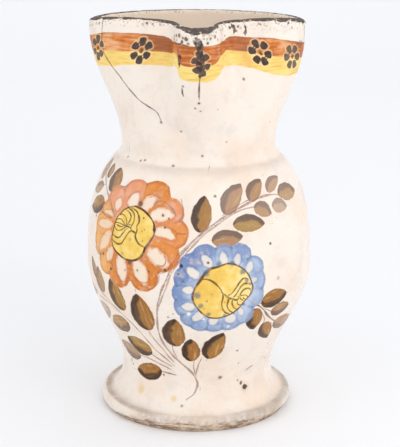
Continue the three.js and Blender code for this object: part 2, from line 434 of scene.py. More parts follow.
def handle_rings(sides=28):
    """Rings along the strap, which swells where it was pressed on to the wall."""
    top = float(outer_radius(HANDLE_TOP))
    bottom = float(outer_radius(HANDLE_BOTTOM))
    drop = HANDLE_TOP - HANDLE_BOTTOM
    reach = HANDLE_REACH
    middle_line = [
        (top - 0.6 * WALL, HANDLE_TOP - 0.3 * WALL),
        (top, HANDLE_TOP),
        (top + (reach - top) * 0.45, HANDLE_TOP + drop * 0.08),
        (top + (reach - top) * 0.88, HANDLE_TOP - drop * 0.04),
        (reach, HANDLE_TOP - drop * 0.3),
        (reach * 0.97, HANDLE_TOP - drop * 0.58),
        (bottom + (reach - bottom) * 0.55, HANDLE_BOTTOM + drop * 0.17),
        (bottom, HANDLE_BOTTOM),
        (bottom - 0.6 * WALL, HANDLE_BOTTOM - 0.3 * WALL),
    ]
    line = even_line(middle_line, 2.2)
    heading = np.gradient(line, axis=0)
    heading /= np.linalg.norm(heading, axis=1, keepdims=True)
    length = lengths_along(line)
    from_end = np.minimum(length, length[-1] - length)
    along = length / length[-1]
    swell = 1 + 0.3 * np.abs(2 * along - 1) ** 3
    flare = 4.5 * np.exp(-from_end / 4.5)
    turns = np.linspace(0, 2 * np.pi, sides, endpoint=False)
    across = np.sign(np.cos(turns)) * np.abs(np.cos(turns)) ** 0.75
    outward = np.sign(np.sin(turns)) * np.abs(np.sin(turns)) ** 0.75
    # A thumb's soft channel runs down the outer face of the strap
    channel = 0.12 * np.exp(-((across / 0.45) ** 2)) * (outward < 0)
    half_width = HANDLE_WIDTH / 2 * swell + flare
    half_thick = HANDLE_THICKNESS / 2 * swell + flare
    rings = np.zeros((len(line), sides, 3))
    rings[..., 0] = across[None] * half_width[:, None]
    rise = (outward[None] * (1 - channel[None])) * half_thick[:, None]
    rings[..., 1] = line[:, 0, None] + heading[:, 1, None] * rise
    rings[..., 2] = line[:, 1, None] - heading[:, 0, None] * rise
    normals = grid_normals(rings)
    return rings + normals * (noise_at(rings, 20, 8) * 0.5)[..., None]


# The painting. A place is its turn in degrees from the front and its level in millimetres.

# Leaves: places of the base and the tip, width, bend (a share of the half width, to the left of the
# way from base to tip), darkness of the shadow stroke (negative where it lies on the right), thinness
# of the wash, and tint from brown (0) to yellow olive (1)
LEAVES = [
    (-29.8, 70.6, -32.3, 98.6, 18.6, 0, 0.95, 0, 0.2), (-14.6, 60.1, -12.2, 83.6, 16.4, 0.1, 0.95, 0, 0.35),
    (-5, 48.3, -4.4, 67.6, 13, 0, 1, 0, 0.1), (6.2, 50.6, 14.6, 72.2, 15.2, 0.1, 1, 0, 0.35),
    (-26.8, 38.2, -51.4, 32.8, 14, 0.1, 0.95, 0, 0.2), (-32, 51.2, -52.8, 58.6, 15.6, 0, 0.9, 0, 0.7),
    (-43.4, 72.6, -62.8, 65.6, 15.5, 0, 0.8, 0.1, 0.7),
    (-43.6, 82.2, -48.8, 105.8, 15.4, 0.1, 0.85, 0, 0.75), (-59, 90.5, -62, 108.5, 14, 0, 0.6, 0.2, 0.6),
    (-63.5, 99, -70.5, 112.5, 8.5, 0, 1, 0.2, 0.2), (-69.5, 87.8, -91, 84, 9.5, 0, 0.5, 0.55, 0.5),
    (-58.8, 79, -86, 66, 14.5, 0, 0.6, 0.7, 0.3), (-44, 45.4, -68, 50, 14.5, 0, 0.8, 0.3, 0.6),
    (-56, 159.8, -58.3, 175, 15, 0, 0.85, 0.2, 0.2), (-66.3, 166.8, -70.2, 175.5, 8.6, 0, 1, 0.3, 0.2),
    (-68.3, 161.5, -82.5, 155.5, 9, 0, -0.9, 0.5, 0.3), (-60, 152.3, -78, 144.8, 13, 0, 0.85, 0.05, 0.6),
    (-76.5, 163.5, -79.5, 177.5, 10.5, 0, 0.5, 0.5, 0.5), (0.2, 142.4, 3.2, 164.8, 13.6, 0, 1, 0.1, 0.45),
    (13.2, 153.2, 24.6, 170.6, 13.4, 0.15, 0.85, 0.4, 0.1),
    (28, 160, 39.4, 171.6, 11.2, 0.15, 0.85, 0.35, 0.3), (41.2, 163.8, 55, 170.8, 9, 0.2, 0.8, 0.55, 0.1),
    (48.8, 161.2, 67.8, 159.3, 12.6, 0.1, 0.75, 0.35, 0.9),
    (30, 156.2, 40.8, 150, 10.8, 0.15, 0.75, 0.45, 0.1), (41.8, 154.8, 53.8, 152.4, 10.4, 0.1, 0.7, 0.8, 0),
    (17.2, 147, 35.4, 145.2, 11.8, 0.1, 0.85, 0.2, 1), (6.2, 137.4, 22.2, 139, 12, 0, 0.85, 0.3, 0.05),
    (32.6, 92.4, 50.6, 94.2, 14.2, 0, -0.9, 0, 0.2), (41.1, 83.4, 56.3, 83.4, 11.6, 0, -0.75, 0.15, 0.35),
    (47.3, 72.4, 70, 67, 12.8, 0, -0.7, 0.3, 0.25), (29, 88.8, 32.6, 71.2, 13.4, 0, -1, 0, 0.15),
    (38.2, 74.8, 48, 60, 12, 0, -0.9, 0.05, 0.2), (74, 67.5, 95, 58, 11, 0, -0.7, 0.2, 0.3),
    (-89, 55, -106, 51, 10, 0, 0.8, 0.2, 0.3), (-88, 97, -104, 104, 10, 0, -0.7, 0.2, 0.4),
    (84, 78, 101, 84, 10, 0, 0.7, 0.2, 0.3),
]

# The kinds of line: a stem, pale or dark, the ink of the warm and the cool flower's disc, the
# hairline crack, the darker edge of a petal, a smear of mauve, and bare worn clay
DARK_STEM, INK, WARM_INK, CRACK, PETAL_EDGE, MAUVE, BARE = 0.8, 1.0, 1.5, 2.0, 3.0, 4.0, 5.0

# Lines: the half width, the kind, and a run of turns and levels
LINES = [
    # Stems, whose kind is their darkness
    (0.7, 0.4, [-6.5, 20, -2, 23.5, 0.3, 29, -0.5, 33.5, -4, 39, -10, 45, -15.5, 50.5, -19.6, 56.5,
     -22.2, 63, -23, 72, -22, 82, -20.6, 92, -18.5, 102, -16.3, 109, -12.2, 121, -6, 132, 0.8, 141, 7.4,
     147.4, 15, 152.8, 23, 157, 31, 160, 38, 161.5, 45, 161.3, 49.3, 160.2]),
    (0.6, 0.25, [-20.6, 90, -19, 95.5, -17.2, 101, -15.5, 107, -13.4, 115, -9, 124.3, -2.8, 134, 3.8,
     142.4, 11, 148.5, 18, 153.5, 25, 155.6, 31.5, 156]),
    (0.5, 0.15, [-9.2, 128.6, -4.6, 135, 1.5, 142, 5, 146.5]),
    (0.45, 0.2, [12, 152.5, 18, 156.5, 25, 159.6, 29, 160.8]),
    (0.5, 0.5, [-62, 90.5, -55, 86, -48, 80.7, -41, 73.7, -36, 66.5, -32, 59.5, -28, 54, -22.5, 49, -17,
     44]),
    (0.45, 0.2, [-66, 85.5, -56, 84, -49, 79.5]),
    (0.4, 0.4, [-29.4, 71, -27.5, 64, -24, 57.5, -20, 51, -16.5, 46.5]),
    (0.45, 0.6, [-33, 50, -28, 47.3, -23, 44.8, -18.5, 42.7]),
    (0.4, 0.45, [-44, 46.4, -37, 45.7, -28, 43.6, -20, 40.5]),
    (0.35, 0.4, [-38, 46.4, -30, 43.9, -22, 41.3]),
    (0.45, 0.7, [-27, 37.4, -22, 37, -16, 36.3]),
    (0.4, 0.35, [-16.3, 60.5, -16, 56, -14, 50.5]),
    (0.4, 0.35, [-2.5, 50, -2.9, 45, -2, 40, -0.6, 36]),
    (0.4, 0.45, [2.4, 51, 0.7, 46, -0.6, 40.5, -1, 36.5]),
    (0.6, 0.35, [-74, 168.5, -69, 165.3, -63, 161, -58, 157, -54.5, 153]),
    (0.9, MAUVE, [-54.8, 155.6, -51.5, 150.5, -48.3, 146.6]),
    (0.4, 0.5, [-68.5, 161.5, -66, 163]),
    (0.6, 0.75, [24.6, 96.3, 26.5, 94.4, 28.3, 92.7, 31.5, 90.4, 35.3, 86.5, 38.5, 82, 42.5, 77.8, 48,
     73.5]),
    (0.4, 0.4, [27.5, 94, 30, 92.7, 33, 91.7]),
    (0.4, 0.5, [35, 87.5, 41.5, 83.3]),
    (0.4, 0.4, [34.5, 84.5, 38.2, 78.2, 38.6, 75]),
    (0.4, 0.4, [60, 73, 68, 71, 75, 68]),
    # The curls of ink in the two discs
    (0.58, INK, [-37, 153.8, -34, 152.7, -32.2, 150.5, -31.4, 148, -31.4, 145.7, -32.2, 143.3, -31.9,
     141, -32.2, 139, -32.7, 137, -32, 134.8, -30.5, 132.5, -28.5, 131.2, -26.8, 130.4]),
    (0.5, INK, [-38.5, 153.2, -36.3, 152, -34.8, 150, -34.4, 147.5, -34.7, 145, -35.6, 142.5]),
    (0.45, INK, [-40, 151.8, -38, 150.8, -36.8, 148.8, -36.9, 146.3, -37.8, 144.2, -38.7, 142.3]),
    (0.38, INK, [-44.5, 148, -43, 148.8, -41, 148.2, -39.3, 146, -38.9, 144, -38.9, 142.3]),
    (0.38, INK, [-46, 144.6, -44.5, 145.6, -42.8, 145.5, -41.3, 144.3, -40, 142.8, -38.8, 142]),
    (0.4, INK, [-47.2, 142.6, -44.5, 143, -42, 142.6, -40, 142.2, -38, 141.9]),
    (0.35, INK, [-45.5, 141.8, -44, 141.1, -42.5, 140.8, -41, 141.5, -39.5, 141.9]),
    (0.4, INK, [-47.2, 140.4, -46, 138.7, -44, 138.1, -42, 138.9, -40.5, 140.3, -39, 141.3]),
    (0.45, INK, [-48, 134.8, -46.3, 133.8, -44.3, 133.4, -42.5, 134.3, -41, 136.6, -39.5, 139, -38,
     140.5]),
    (0.45, INK, [-48, 131.2, -46, 130, -43.5, 129.4, -41.3, 130.2, -39.8, 132.8, -38, 136.3, -36.5,
     138.9, -35, 139.7]),
    (0.7, INK, [-40, 142, -37.5, 141.9, -36, 141.4, -35.2, 140, -33.5, 139.3, -32.3, 138.5]),
    (0.4, INK, [-38.5, 142.5, -37, 143.3, -35.8, 143, -35.5, 141.5]),
    (0.6, WARM_INK, [1.2, 112, 3.5, 112.3, 6.3, 110.9, 8.8, 108, 10.5, 105, 11.5, 102.3, 13, 100.8,
     14.3, 99.2, 15.5, 98.3, 16.7, 98.4]),
    (0.55, WARM_INK, [13.6, 100.3, 15.8, 101.8, 17.6, 104.5, 19.3, 107.8, 20.7, 110.2, 22.3, 111.4, 24,
     110.7]),
    (0.55, WARM_INK, [16.5, 98.6, 18, 100.7, 19.3, 103.3, 20.7, 106, 22.5, 107.6, 24.6, 107.4]),
    (0.45, WARM_INK, [20.2, 99.8, 20.8, 101.7, 22, 103.5, 23.7, 104.3, 25.2, 103.8, 26, 102.4]),
    (0.5, WARM_INK, [16.8, 98, 18, 97.2, 19.3, 97.4, 20.2, 99.4]),
    (0.4, WARM_INK, [20, 99.6, 21.5, 99.9, 23, 99.9, 24, 99, 24.4, 97.8]),
    (0.38, WARM_INK, [20.4, 98.4, 21, 97, 22, 96.2]),
    (0.38, WARM_INK, [22, 97.9, 22.8, 97, 23.8, 96.6]),
    (0.5, WARM_INK, [11.6, 101.8, 11.7, 99, 11.3, 96, 11.4, 93, 12.3, 90.3, 13.8, 88.2, 15.8, 87.2]),
    (0.5, WARM_INK, [14.6, 98.8, 14.3, 96, 14.1, 93.3, 14.8, 91, 16, 89, 17.3, 88]),
    (0.48, WARM_INK, [16.7, 98, 16.5, 95.5, 17, 93, 18, 91.2, 19.2, 90.2]),
    (0.42, WARM_INK, [19.1, 97.2, 19.2, 95, 20, 93.4, 21.5, 92.9]),
    # Darker edges left where the flower strokes overlap, and smears beside the disc
    (0.4, MAUVE, [-9.2, 162, -8.2, 158, -7.9, 153, -9, 149.8]),
    (0.4, PETAL_EDGE, [-16.7, 144.6, -13, 143.8, -11, 142, -10.8, 139.5]),
    (0.5, PETAL_EDGE, [-11.2, 141.6, -8, 141.3, -5.8, 141.6]),
    (0.4, PETAL_EDGE, [-27, 162, -25, 163, -22.5, 162.8, -21, 161.8]),
    (0.5, MAUVE, [-24.5, 156.5, -22.5, 159.5, -19.5, 160.3, -16, 158.5, -13, 155.5, -11.5, 152.5]),
    (0.6, PETAL_EDGE, [-19.8, 116, -19.6, 112, -20.4, 107.5, -23, 104, -27, 101.9]),
    (0.7, PETAL_EDGE, [-9.8, 131, -10.8, 126, -12.8, 121.5, -15.5, 117, -18.3, 114.8]),
    (0.7, PETAL_EDGE, [-16.6, 127, -15.9, 123, -17.3, 120, -20.5, 119.8]),
    (0.5, PETAL_EDGE, [-33.2, 110.5, -31, 108, -28, 106.9, -25.3, 107.8, -24.2, 111]),
    (0.5, PETAL_EDGE, [-44.2, 110, -42.2, 106, -40, 104.9, -37.9, 105.8, -36.5, 108.5]),
    (0.35, MAUVE, [-55, 108, -52, 106.8, -50, 107.5]),
    (0.5, PETAL_EDGE, [-49.5, 115.3, -47.3, 114, -47.2, 112, -48.5, 111]),
    (0.35, MAUVE, [-44.5, 165.9, -47.5, 165.2, -50, 163.8]),
    (0.5, PETAL_EDGE, [-64.5, 121, -61.5, 118, -58.5, 117.2]),
    (0.9, PETAL_EDGE, [-61, 146, -56, 145.4, -51, 145]),
    (0.4, MAUVE, [-40.5, 159.5, -38.5, 162.5, -35.5, 164]),
    (1.35, MAUVE, [-23.2, 137.5, -24.8, 134, -26.3, 131]),
    (0.8, MAUVE, [26.7, 104.5, 26.3, 101.5, 25.6, 99]),
    # The hairline crack down the neck, and three small ones
    (0.36, CRACK, [-76.4, 270, -76.8, 262, -75.7, 250, -69.5, 241, -60, 232, -54.5, 226.7, -47, 221,
     -39.5, 217.5, -30.7, 214, -27, 209]),
    (0.3, CRACK, [38.5, 36.2, 41.5, 37.6, 44.5, 38.2]),
    (0.5, CRACK, [-9.3, 234, -9.5, 231, -8.9, 229]),
    (0.3, CRACK, [86.5, 268, 87.3, 262, 86.8, 257]),
    # Bare clay where the pouring lip has worn through the painting
    (2.2, BARE, [-0.2, 267.8, 0.7, 264.5, 1.3, 261, 1.8, 257, 1.3, 251.5, 1.5, 247, 1.1, 242.5]),
    (0.55, DARK_STEM, [1, 244, 0.6, 239, 0.3, 234, 0.2, 228]),
    (0.7, BARE, [-12, 262.6, -9.8, 262.9, -7.8, 263.6, -5.4, 262.2]),
    (0.6, BARE, [-10.6, 259.5, -10.2, 255, -10, 250, -10.4, 247.5]),
    (0.6, BARE, [-14.8, 265.5, -13.5, 263.5, -12.4, 261.5]),
    (0.8, BARE, [29, 267.5, 30.2, 265.5, 30, 263.5]),
    (1, BARE, [41.8, 268.4, 42.6, 265.5, 42.2, 263]),
    (0.9, BARE, [48.5, 266.8, 48.5, 264, 48, 261]),
]

# Flowers: the middle and the mean radius of the body
FLOWERS = [
    (-34.6, 136, 30), (11, 103.5, 24.5),
]

# The discs' outlines, clockwise, as turn, level and half width of the line
DISCS = [
    [(-35, 155.3, 0.45), (-32, 154.6, 0.7), (-29.5, 153.7, 0.6), (-27, 151.8, 0.65), (-24.7, 149.5, 0.4),
     (-23, 146.5, 0.4), (-22.3, 143, 0.9), (-22.2, 140.5, 0.5), (-23.3, 137, 0.5), (-25, 133.5, 0.4),
     (-26.8, 130.3, 0.6), (-27.5, 127.5, 0.65), (-28.8, 124.5, 0.8), (-31, 122, 0.7), (-33.5, 120.7, 0.6),
     (-36.5, 120.3, 0.65), (-39.5, 120.8, 0.55), (-42.3, 122.4, 0.6), (-45, 124.3, 0.5), (-47.3, 127, 0.45),
     (-48, 130, 0.4), (-48.3, 133, 0.35), (-47.7, 137, 0.35), (-47.2, 141, 0.35), (-46.5, 144.5, 0.35),
     (-45.5, 147, 0.3), (-44, 149, 0.3), (-42.5, 151.3, 0.3), (-40.5, 153, 0.35), (-38, 154.5, 0.4)],
    [(13.5, 122, 0.5), (16, 121.7, 0.55), (18, 120.7, 0.5), (20.3, 119, 0.4), (22.3, 117, 0.35),
     (24, 114.5, 0.35), (25.3, 111, 0.4), (26.3, 107.5, 0.4), (27, 104.5, 0.45), (26.3, 101.5, 0.3),
     (25, 98.5, 0.3), (23.3, 96, 0.35), (21.8, 93.7, 0.4), (20.2, 91, 0.45), (18.5, 88.8, 0.5),
     (16.5, 87, 0.5), (13.5, 85.4, 0.45), (10, 84.5, 0.45), (6.5, 84.7, 0.5), (4, 86, 0.5),
     (1.5, 88.5, 0.55), (-0.5, 92, 0.5), (-2.3, 96, 0.55), (-3, 100.5, 0.7), (-2.3, 104.5, 0.5),
     (-1, 108, 0.7), (1, 112, 0.9), (2.8, 116, 0.9), (5.5, 119, 0.9), (9, 120.3, 0.7), (11.5, 121.3, 0.5)],
]

# Lobes of the scalloped edge: place, radius, flower, and tint from pale or pink (0) to strong (1)
LOBES = [
    (-36.5, 161.6, 11.4, 0, 0.2), (-24.5, 162, 11.5, 0, 0.8), (-16, 153.4, 10.9, 0, 0.3),
    (-13.2, 141.2, 10.8, 0, 0.5), (-17.2, 127, 11, 0, 0.6), (-28, 111.6, 10.9, 0, 0.95),
    (-43, 110.2, 10.4, 0, 0.9), (-52.5, 115, 9, 0, 0.85), (-57.3, 127.5, 10.5, 0, 0.7),
    (-57.3, 137, 10.5, 0, 0.75), (-55, 148.4, 7.4, 0, 0.5), (-49.4, 156.6, 10, 0, 0.15),
    (3.2, 126, 9.2, 1, 0.75), (12, 126, 8.6, 1, 0.55), (19.8, 126, 8.7, 1, 0.6),
    (26.7, 117.6, 8.3, 1, 0.45), (28, 108.5, 8.4, 1, 0.4), (27.4, 98, 8.4, 1, 0.35),
    (23, 85.6, 8.3, 1, 0.45), (16.5, 81.4, 8.1, 1, 0.5), (8.5, 80.9, 8.1, 1, 0.55), (1, 81.8, 8.1, 1, 0.6),
    (-3.6, 84.4, 7.4, 1, 0.6), (-6.6, 93, 7.8, 1, 0.65), (-7.2, 103, 8, 1, 0.8), (-6.2, 112.5, 8.2, 1, 0.9),
    (-3, 121, 8.6, 1, 0.85),
]

# Cream windows left bare between the strokes: places of the inner and the outer end, width, bend
# and strength
WINDOWS = [
    (-38.2, 153, -35.6, 163.4, 7.6, 0, 1), (-47.6, 150.5, -46.4, 158.5, 6, 0, 0.85),
    (-29.8, 153, -23.6, 163, 7.6, 0.25, 0.9), (-25.4, 150.4, -13, 152.6, 8.6, 0.2, 1),
    (-22.6, 141.6, -11.6, 138.2, 6.6, 0.5, 1), (-25.4, 129.4, -14.8, 119.2, 9.6, 0.1, 1),
    (-32.3, 122.4, -26.4, 105.6, 9.6, 0, 1), (-41.8, 123.2, -39.6, 104.2, 8.6, 0, 1),
    (-47.5, 126, -51.5, 115.5, 6.5, 0, 0.8), (-49.5, 135.5, -58.5, 121.5, 7.5, 0, 0.7),
    (-48.5, 141, -62.5, 138.2, 6, 0, 0.7), (-48.5, 147.5, -58, 146.5, 4.5, 0, 0.6),
    (5.8, 120, 1.8, 128.4, 5.4, 0, 0.95), (12.6, 121.4, 11.4, 130, 4.7, 0, 0.9),
    (18.2, 120.4, 19.2, 128.4, 4.5, 0, 0.8), (24.2, 114.5, 25.9, 122.2, 4.5, 0, 0.8),
    (25.8, 108.6, 29.4, 110.4, 3.6, 0, 0.6), (0, 113, -5.8, 120.2, 5.8, 0, 1),
    (-2.2, 104.6, -7.9, 104.9, 5, 0, 0.95), (-2, 93.6, -8.2, 93.1, 5.8, 0, 0.95),
    (2.4, 89.2, -3, 82.4, 6.2, 0, 0.9), (7.8, 85.4, 7.3, 79, 6.2, 0, 0.85),
    (16, 87, 17.2, 79.4, 7.2, 0, 0.85), (20.8, 91, 22.7, 84.6, 3.4, 0, 0.8),
]

# Rosettes on the mouth's band: middle, half width, half height, lean of the first petal in degrees
# clockwise from upright, and strength. Those behind are plainer and alike.
ROSETTES = [
    (-50.2, 250.6, 7.9, 8.6, -5, 1), (53.3, 249.6, 8.5, 8.5, -15, 1), (75.3, 245.8, 9, 8.3, 30, 0.9),
    (-80.3, 251, 7, 8.6, 8, 0.9), (1.6, 251.3, 6.2, 8.8, -12, 0.95),
] + [(turn, 248, 8.6, 8.8, turn / 2, 0.9) for turn in (100, 127, 154, -106, -131, -156)]
PETAL_WIDTH = 0.58
PETAL_START = 0.3

# The band's edges as (turn, level): the top of the brown, the brown's lower edge, the yellow's lower edge
BAND_TOP = [
    (-180, 259), (-95, 259.5), (-70, 261), (-40, 260.8), (-30, 260), (-20, 261.8), (-12, 263.3), (0, 262.5),
    (10, 262.6), (20, 261.6), (30, 260), (34, 259.4), (40, 261), (50, 259.4), (60, 258.3), (70, 257),
    (85, 255.5), (120, 257),
]
BAND_MIDDLE = [
    (-180, 249), (-70, 249.4), (-56, 249.8), (-44, 250.9), (-30, 252.4), (-20, 254.6), (-13, 256.2),
    (-9, 250), (0, 249.3), (8, 250), (12, 252), (16, 254.3), (28, 253), (33, 253.8), (40, 252), (48, 250.4),
    (56, 247.8), (66, 246.4), (75, 245.7), (90, 245.5), (120, 247.5),
]
BAND_BOTTOM = [
    (-180, 238), (-75, 239.3), (-65, 240.2), (-55, 241.2), (-45, 242.3), (-33, 243.4), (-20, 246),
    (-12.5, 247.5), (-10, 241), (0, 239), (8, 239.6), (14, 243), (18, 246), (28, 244.8), (38, 242.8),
    (48, 239.5), (55, 236.8), (65, 234.4), (75, 233.8), (85, 235), (120, 236.5),
]

# How dark the brown is, as (turn, tone) from light orange (0) to dark (1)
BAND_TONE = [
    (-180, 0.6), (-85, 0.5), (-71, 0.35), (-62, 0.55), (-53, 0.45), (-47, 0.95), (-36, 1), (-30, 0.8),
    (-20, 0.7), (-13, 0.75), (-5, 0.6), (10, 0.55), (25, 0.6), (38, 0.85), (44, 1), (52, 0.7), (60, 0.5),
    (68, 0.35), (76, 0.6), (84, 0.9), (110, 0.6), (180, 0.6),
]

# The kinds of speck: from a faint brown one (0) to a dark pit (1), a smudge of grey blue, a yellow
# stain, a white fleck, the eye of a rosette and a blot of manganese
BLUE_GREY, YELLOW_STAIN, WHITE_FLECK, EYE, BLOT = 2.0, 3.0, 4.0, 5.0, 6.0

# Specks, smudges and stains: place, radius and kind
SPECKS = [
    (0.1, 224.2, 0.9, 0.9), (-2.3, 220.5, 0.7, 0.7), (1, 218.5, 0.6, 0.7), (-8.8, 235.4, 0.8, 0.7),
    (-27.2, 208.2, 1, 0.6), (-12, 203.5, 0.8, 0.6), (38.2, 234.5, 1, 0.7), (-44.1, 181.2, 0.8, 0.7),
    (-40.4, 182, 0.9, 0.7), (-59.5, 181.5, 0.8, 0.6), (-17.3, 180.8, 1, 0.7), (2.8, 187.2, 0.9, 0.7),
    (9, 164.2, 0.9, 0.7), (34.8, 27.6, 1.3, 0.9), (38.3, 24.2, 2.1, 1), (31.8, 30.2, 0.7, 0.6),
    (17.1, 34.4, 1.3, 0.7), (37.5, 131.5, 0.9, 0.9), (-18.3, 152, 1, 0.8), (-15.1, 150.3, 0.7, 0.9),
    (-16.8, 144.7, 0.8, 0.9), (4.4, 123.2, 0.9, 0.9), (26, 55, 0.9, 0.6), (42.5, 107, 1.5, 0.2),
    (-67, 141.6, 1.1, 0.6), (-15.8, 84, 0.7, 0.7), (-13, 87, 0.5, 0.6), (12, 219, 0.5, 0.4),
    (20, 196, 0.6, 0.4), (60, 205, 0.6, 0.4), (-25.4, 35, 0.8, 0.7), (60, 40, 0.8, 0.5),
    (-10, 15.5, 1, 0.5), (130, 120, 1, 0.6), (150, 80, 0.8, 0.6), (-140, 100, 0.9, 0.6),
    (-150, 205, 0.8, 0.6), (165, 60, 1.3, 0.7), (-120, 60, 0.8, 0.6), (-55.2, 119.3, 1.2, 0.8),
    (-31, 114.6, 0.9, 0.6), (-24.7, 115, 0.7, 0.8), (-16.2, 117.2, 1, 0.9), (-48.6, 111, 1.2, 0.8),
    (-38.6, 112.8, 0.7, 0.5), (-28.8, 149, 0.7, 0.8), (-29, 140.7, 0.5, 0.6), (-27.6, 141.9, 0.5, 0.5),
    (-28.4, 134.4, 0.5, 0.6), (-35.7, 134, 1.3, 0.15), (-40.4, 124, 1.3, 0.2), (-32, 157.3, 2, 0.8),
    (-35.6, 119, 1.7, 0.75), (-22.3, 142.6, 1.3, 0.95), (56, 42, 0.6, 0.5), (-58.5, 38, 1.3, 0.3),
    (-57, 35.5, 0.9, 0.5), (30, 44, 0.6, 0.4), (4, 97.2, 0.7, 0.5), (2.6, 92, 0.6, 0.4),
    (12.7, 96, 0.4, 0.6), (6.3, 102, 0.6, 0.2), (3.6, 116.3, 2.3, BLUE_GREY), (9.4, 122.4, 1.9, BLUE_GREY),
    (16.2, 122.2, 1.9, BLUE_GREY), (21.5, 116, 2.2, BLUE_GREY), (23.6, 109.6, 1.7, BLUE_GREY),
    (25.4, 107.2, 1.2, BLUE_GREY), (-0.9, 101.4, 2.7, BLUE_GREY), (0.9, 93.8, 1.9, BLUE_GREY),
    (5, 87.6, 1.6, BLUE_GREY), (13.2, 86.3, 1.2, BLUE_GREY), (-8.3, 120.8, 1.2, BLOT),
    (-7.6, 110.4, 1.2, BLUE_GREY), (-9.8, 115.3, 0.9, BLUE_GREY), (-10.6, 107.2, 0.7, BLUE_GREY),
    (24, 124, 0.9, BLUE_GREY), (-10.9, 97.5, 0.6, BLUE_GREY), (22.5, 93.3, 1.2, BLUE_GREY),
    (-4.9, 87.8, 1.4, WHITE_FLECK), (16, 77.2, 1, WHITE_FLECK), (2.6, 84, 0.9, WHITE_FLECK),
    (-45.2, 20.6, 3.6, YELLOW_STAIN), (-16.5, 19.5, 2.4, YELLOW_STAIN), (-50.1, 250.3, 1.5, EYE),
    (53.5, 249.1, 1.4, EYE), (75.3, 245.6, 1.2, EYE), (-80, 250.8, 1.2, EYE), (1.3, 251.6, 1.4, BLOT),
    (5, 264.2, 0.9, 0.9), (-9.5, 255, 1.6, BLOT), (-10.2, 250.2, 1, BLOT), (-7.6, 264.8, 1, 0.9),
    (-50.2, 267.9, 1, 0.8), (-47, 267.6, 0.7, 0.7), (40.5, 266.5, 1, 0.9), (45, 266.5, 0.9, 0.8),
    (43.6, 264, 0.8, 0.7), (74.2, 267.6, 0.9, 0.9), (57, 267, 0.7, 0.7), (30.5, 266, 0.8, 0.5),
    (83.3, 254.5, 2.6, 0.3), (-9.6, 268, 1.3, 0.8), (-7.2, 267, 0.9, 0.7), (-5.4, 266.6, 1.4, 0.9),
    (-4.4, 263.8, 1, 0.6), (-12.2, 267.4, 1.1, 0.8), (-14.6, 266.6, 0.9, 0.7), (-11.4, 264.9, 0.8, 0.5),
    (-27.5, 267.6, 1.2, 0.8), (6.8, 266.8, 0.9, 0.6), (9.6, 267.4, 1.2, 0.7), (11.8, 265.2, 0.9, 0.5),
    (36, 262.2, 0.7, 0.5), (33.6, 266.4, 0.9, 0.6), (-22.5, 264.4, 0.6, 0.5), (3.2, 267, 0.8, 0.4),
]


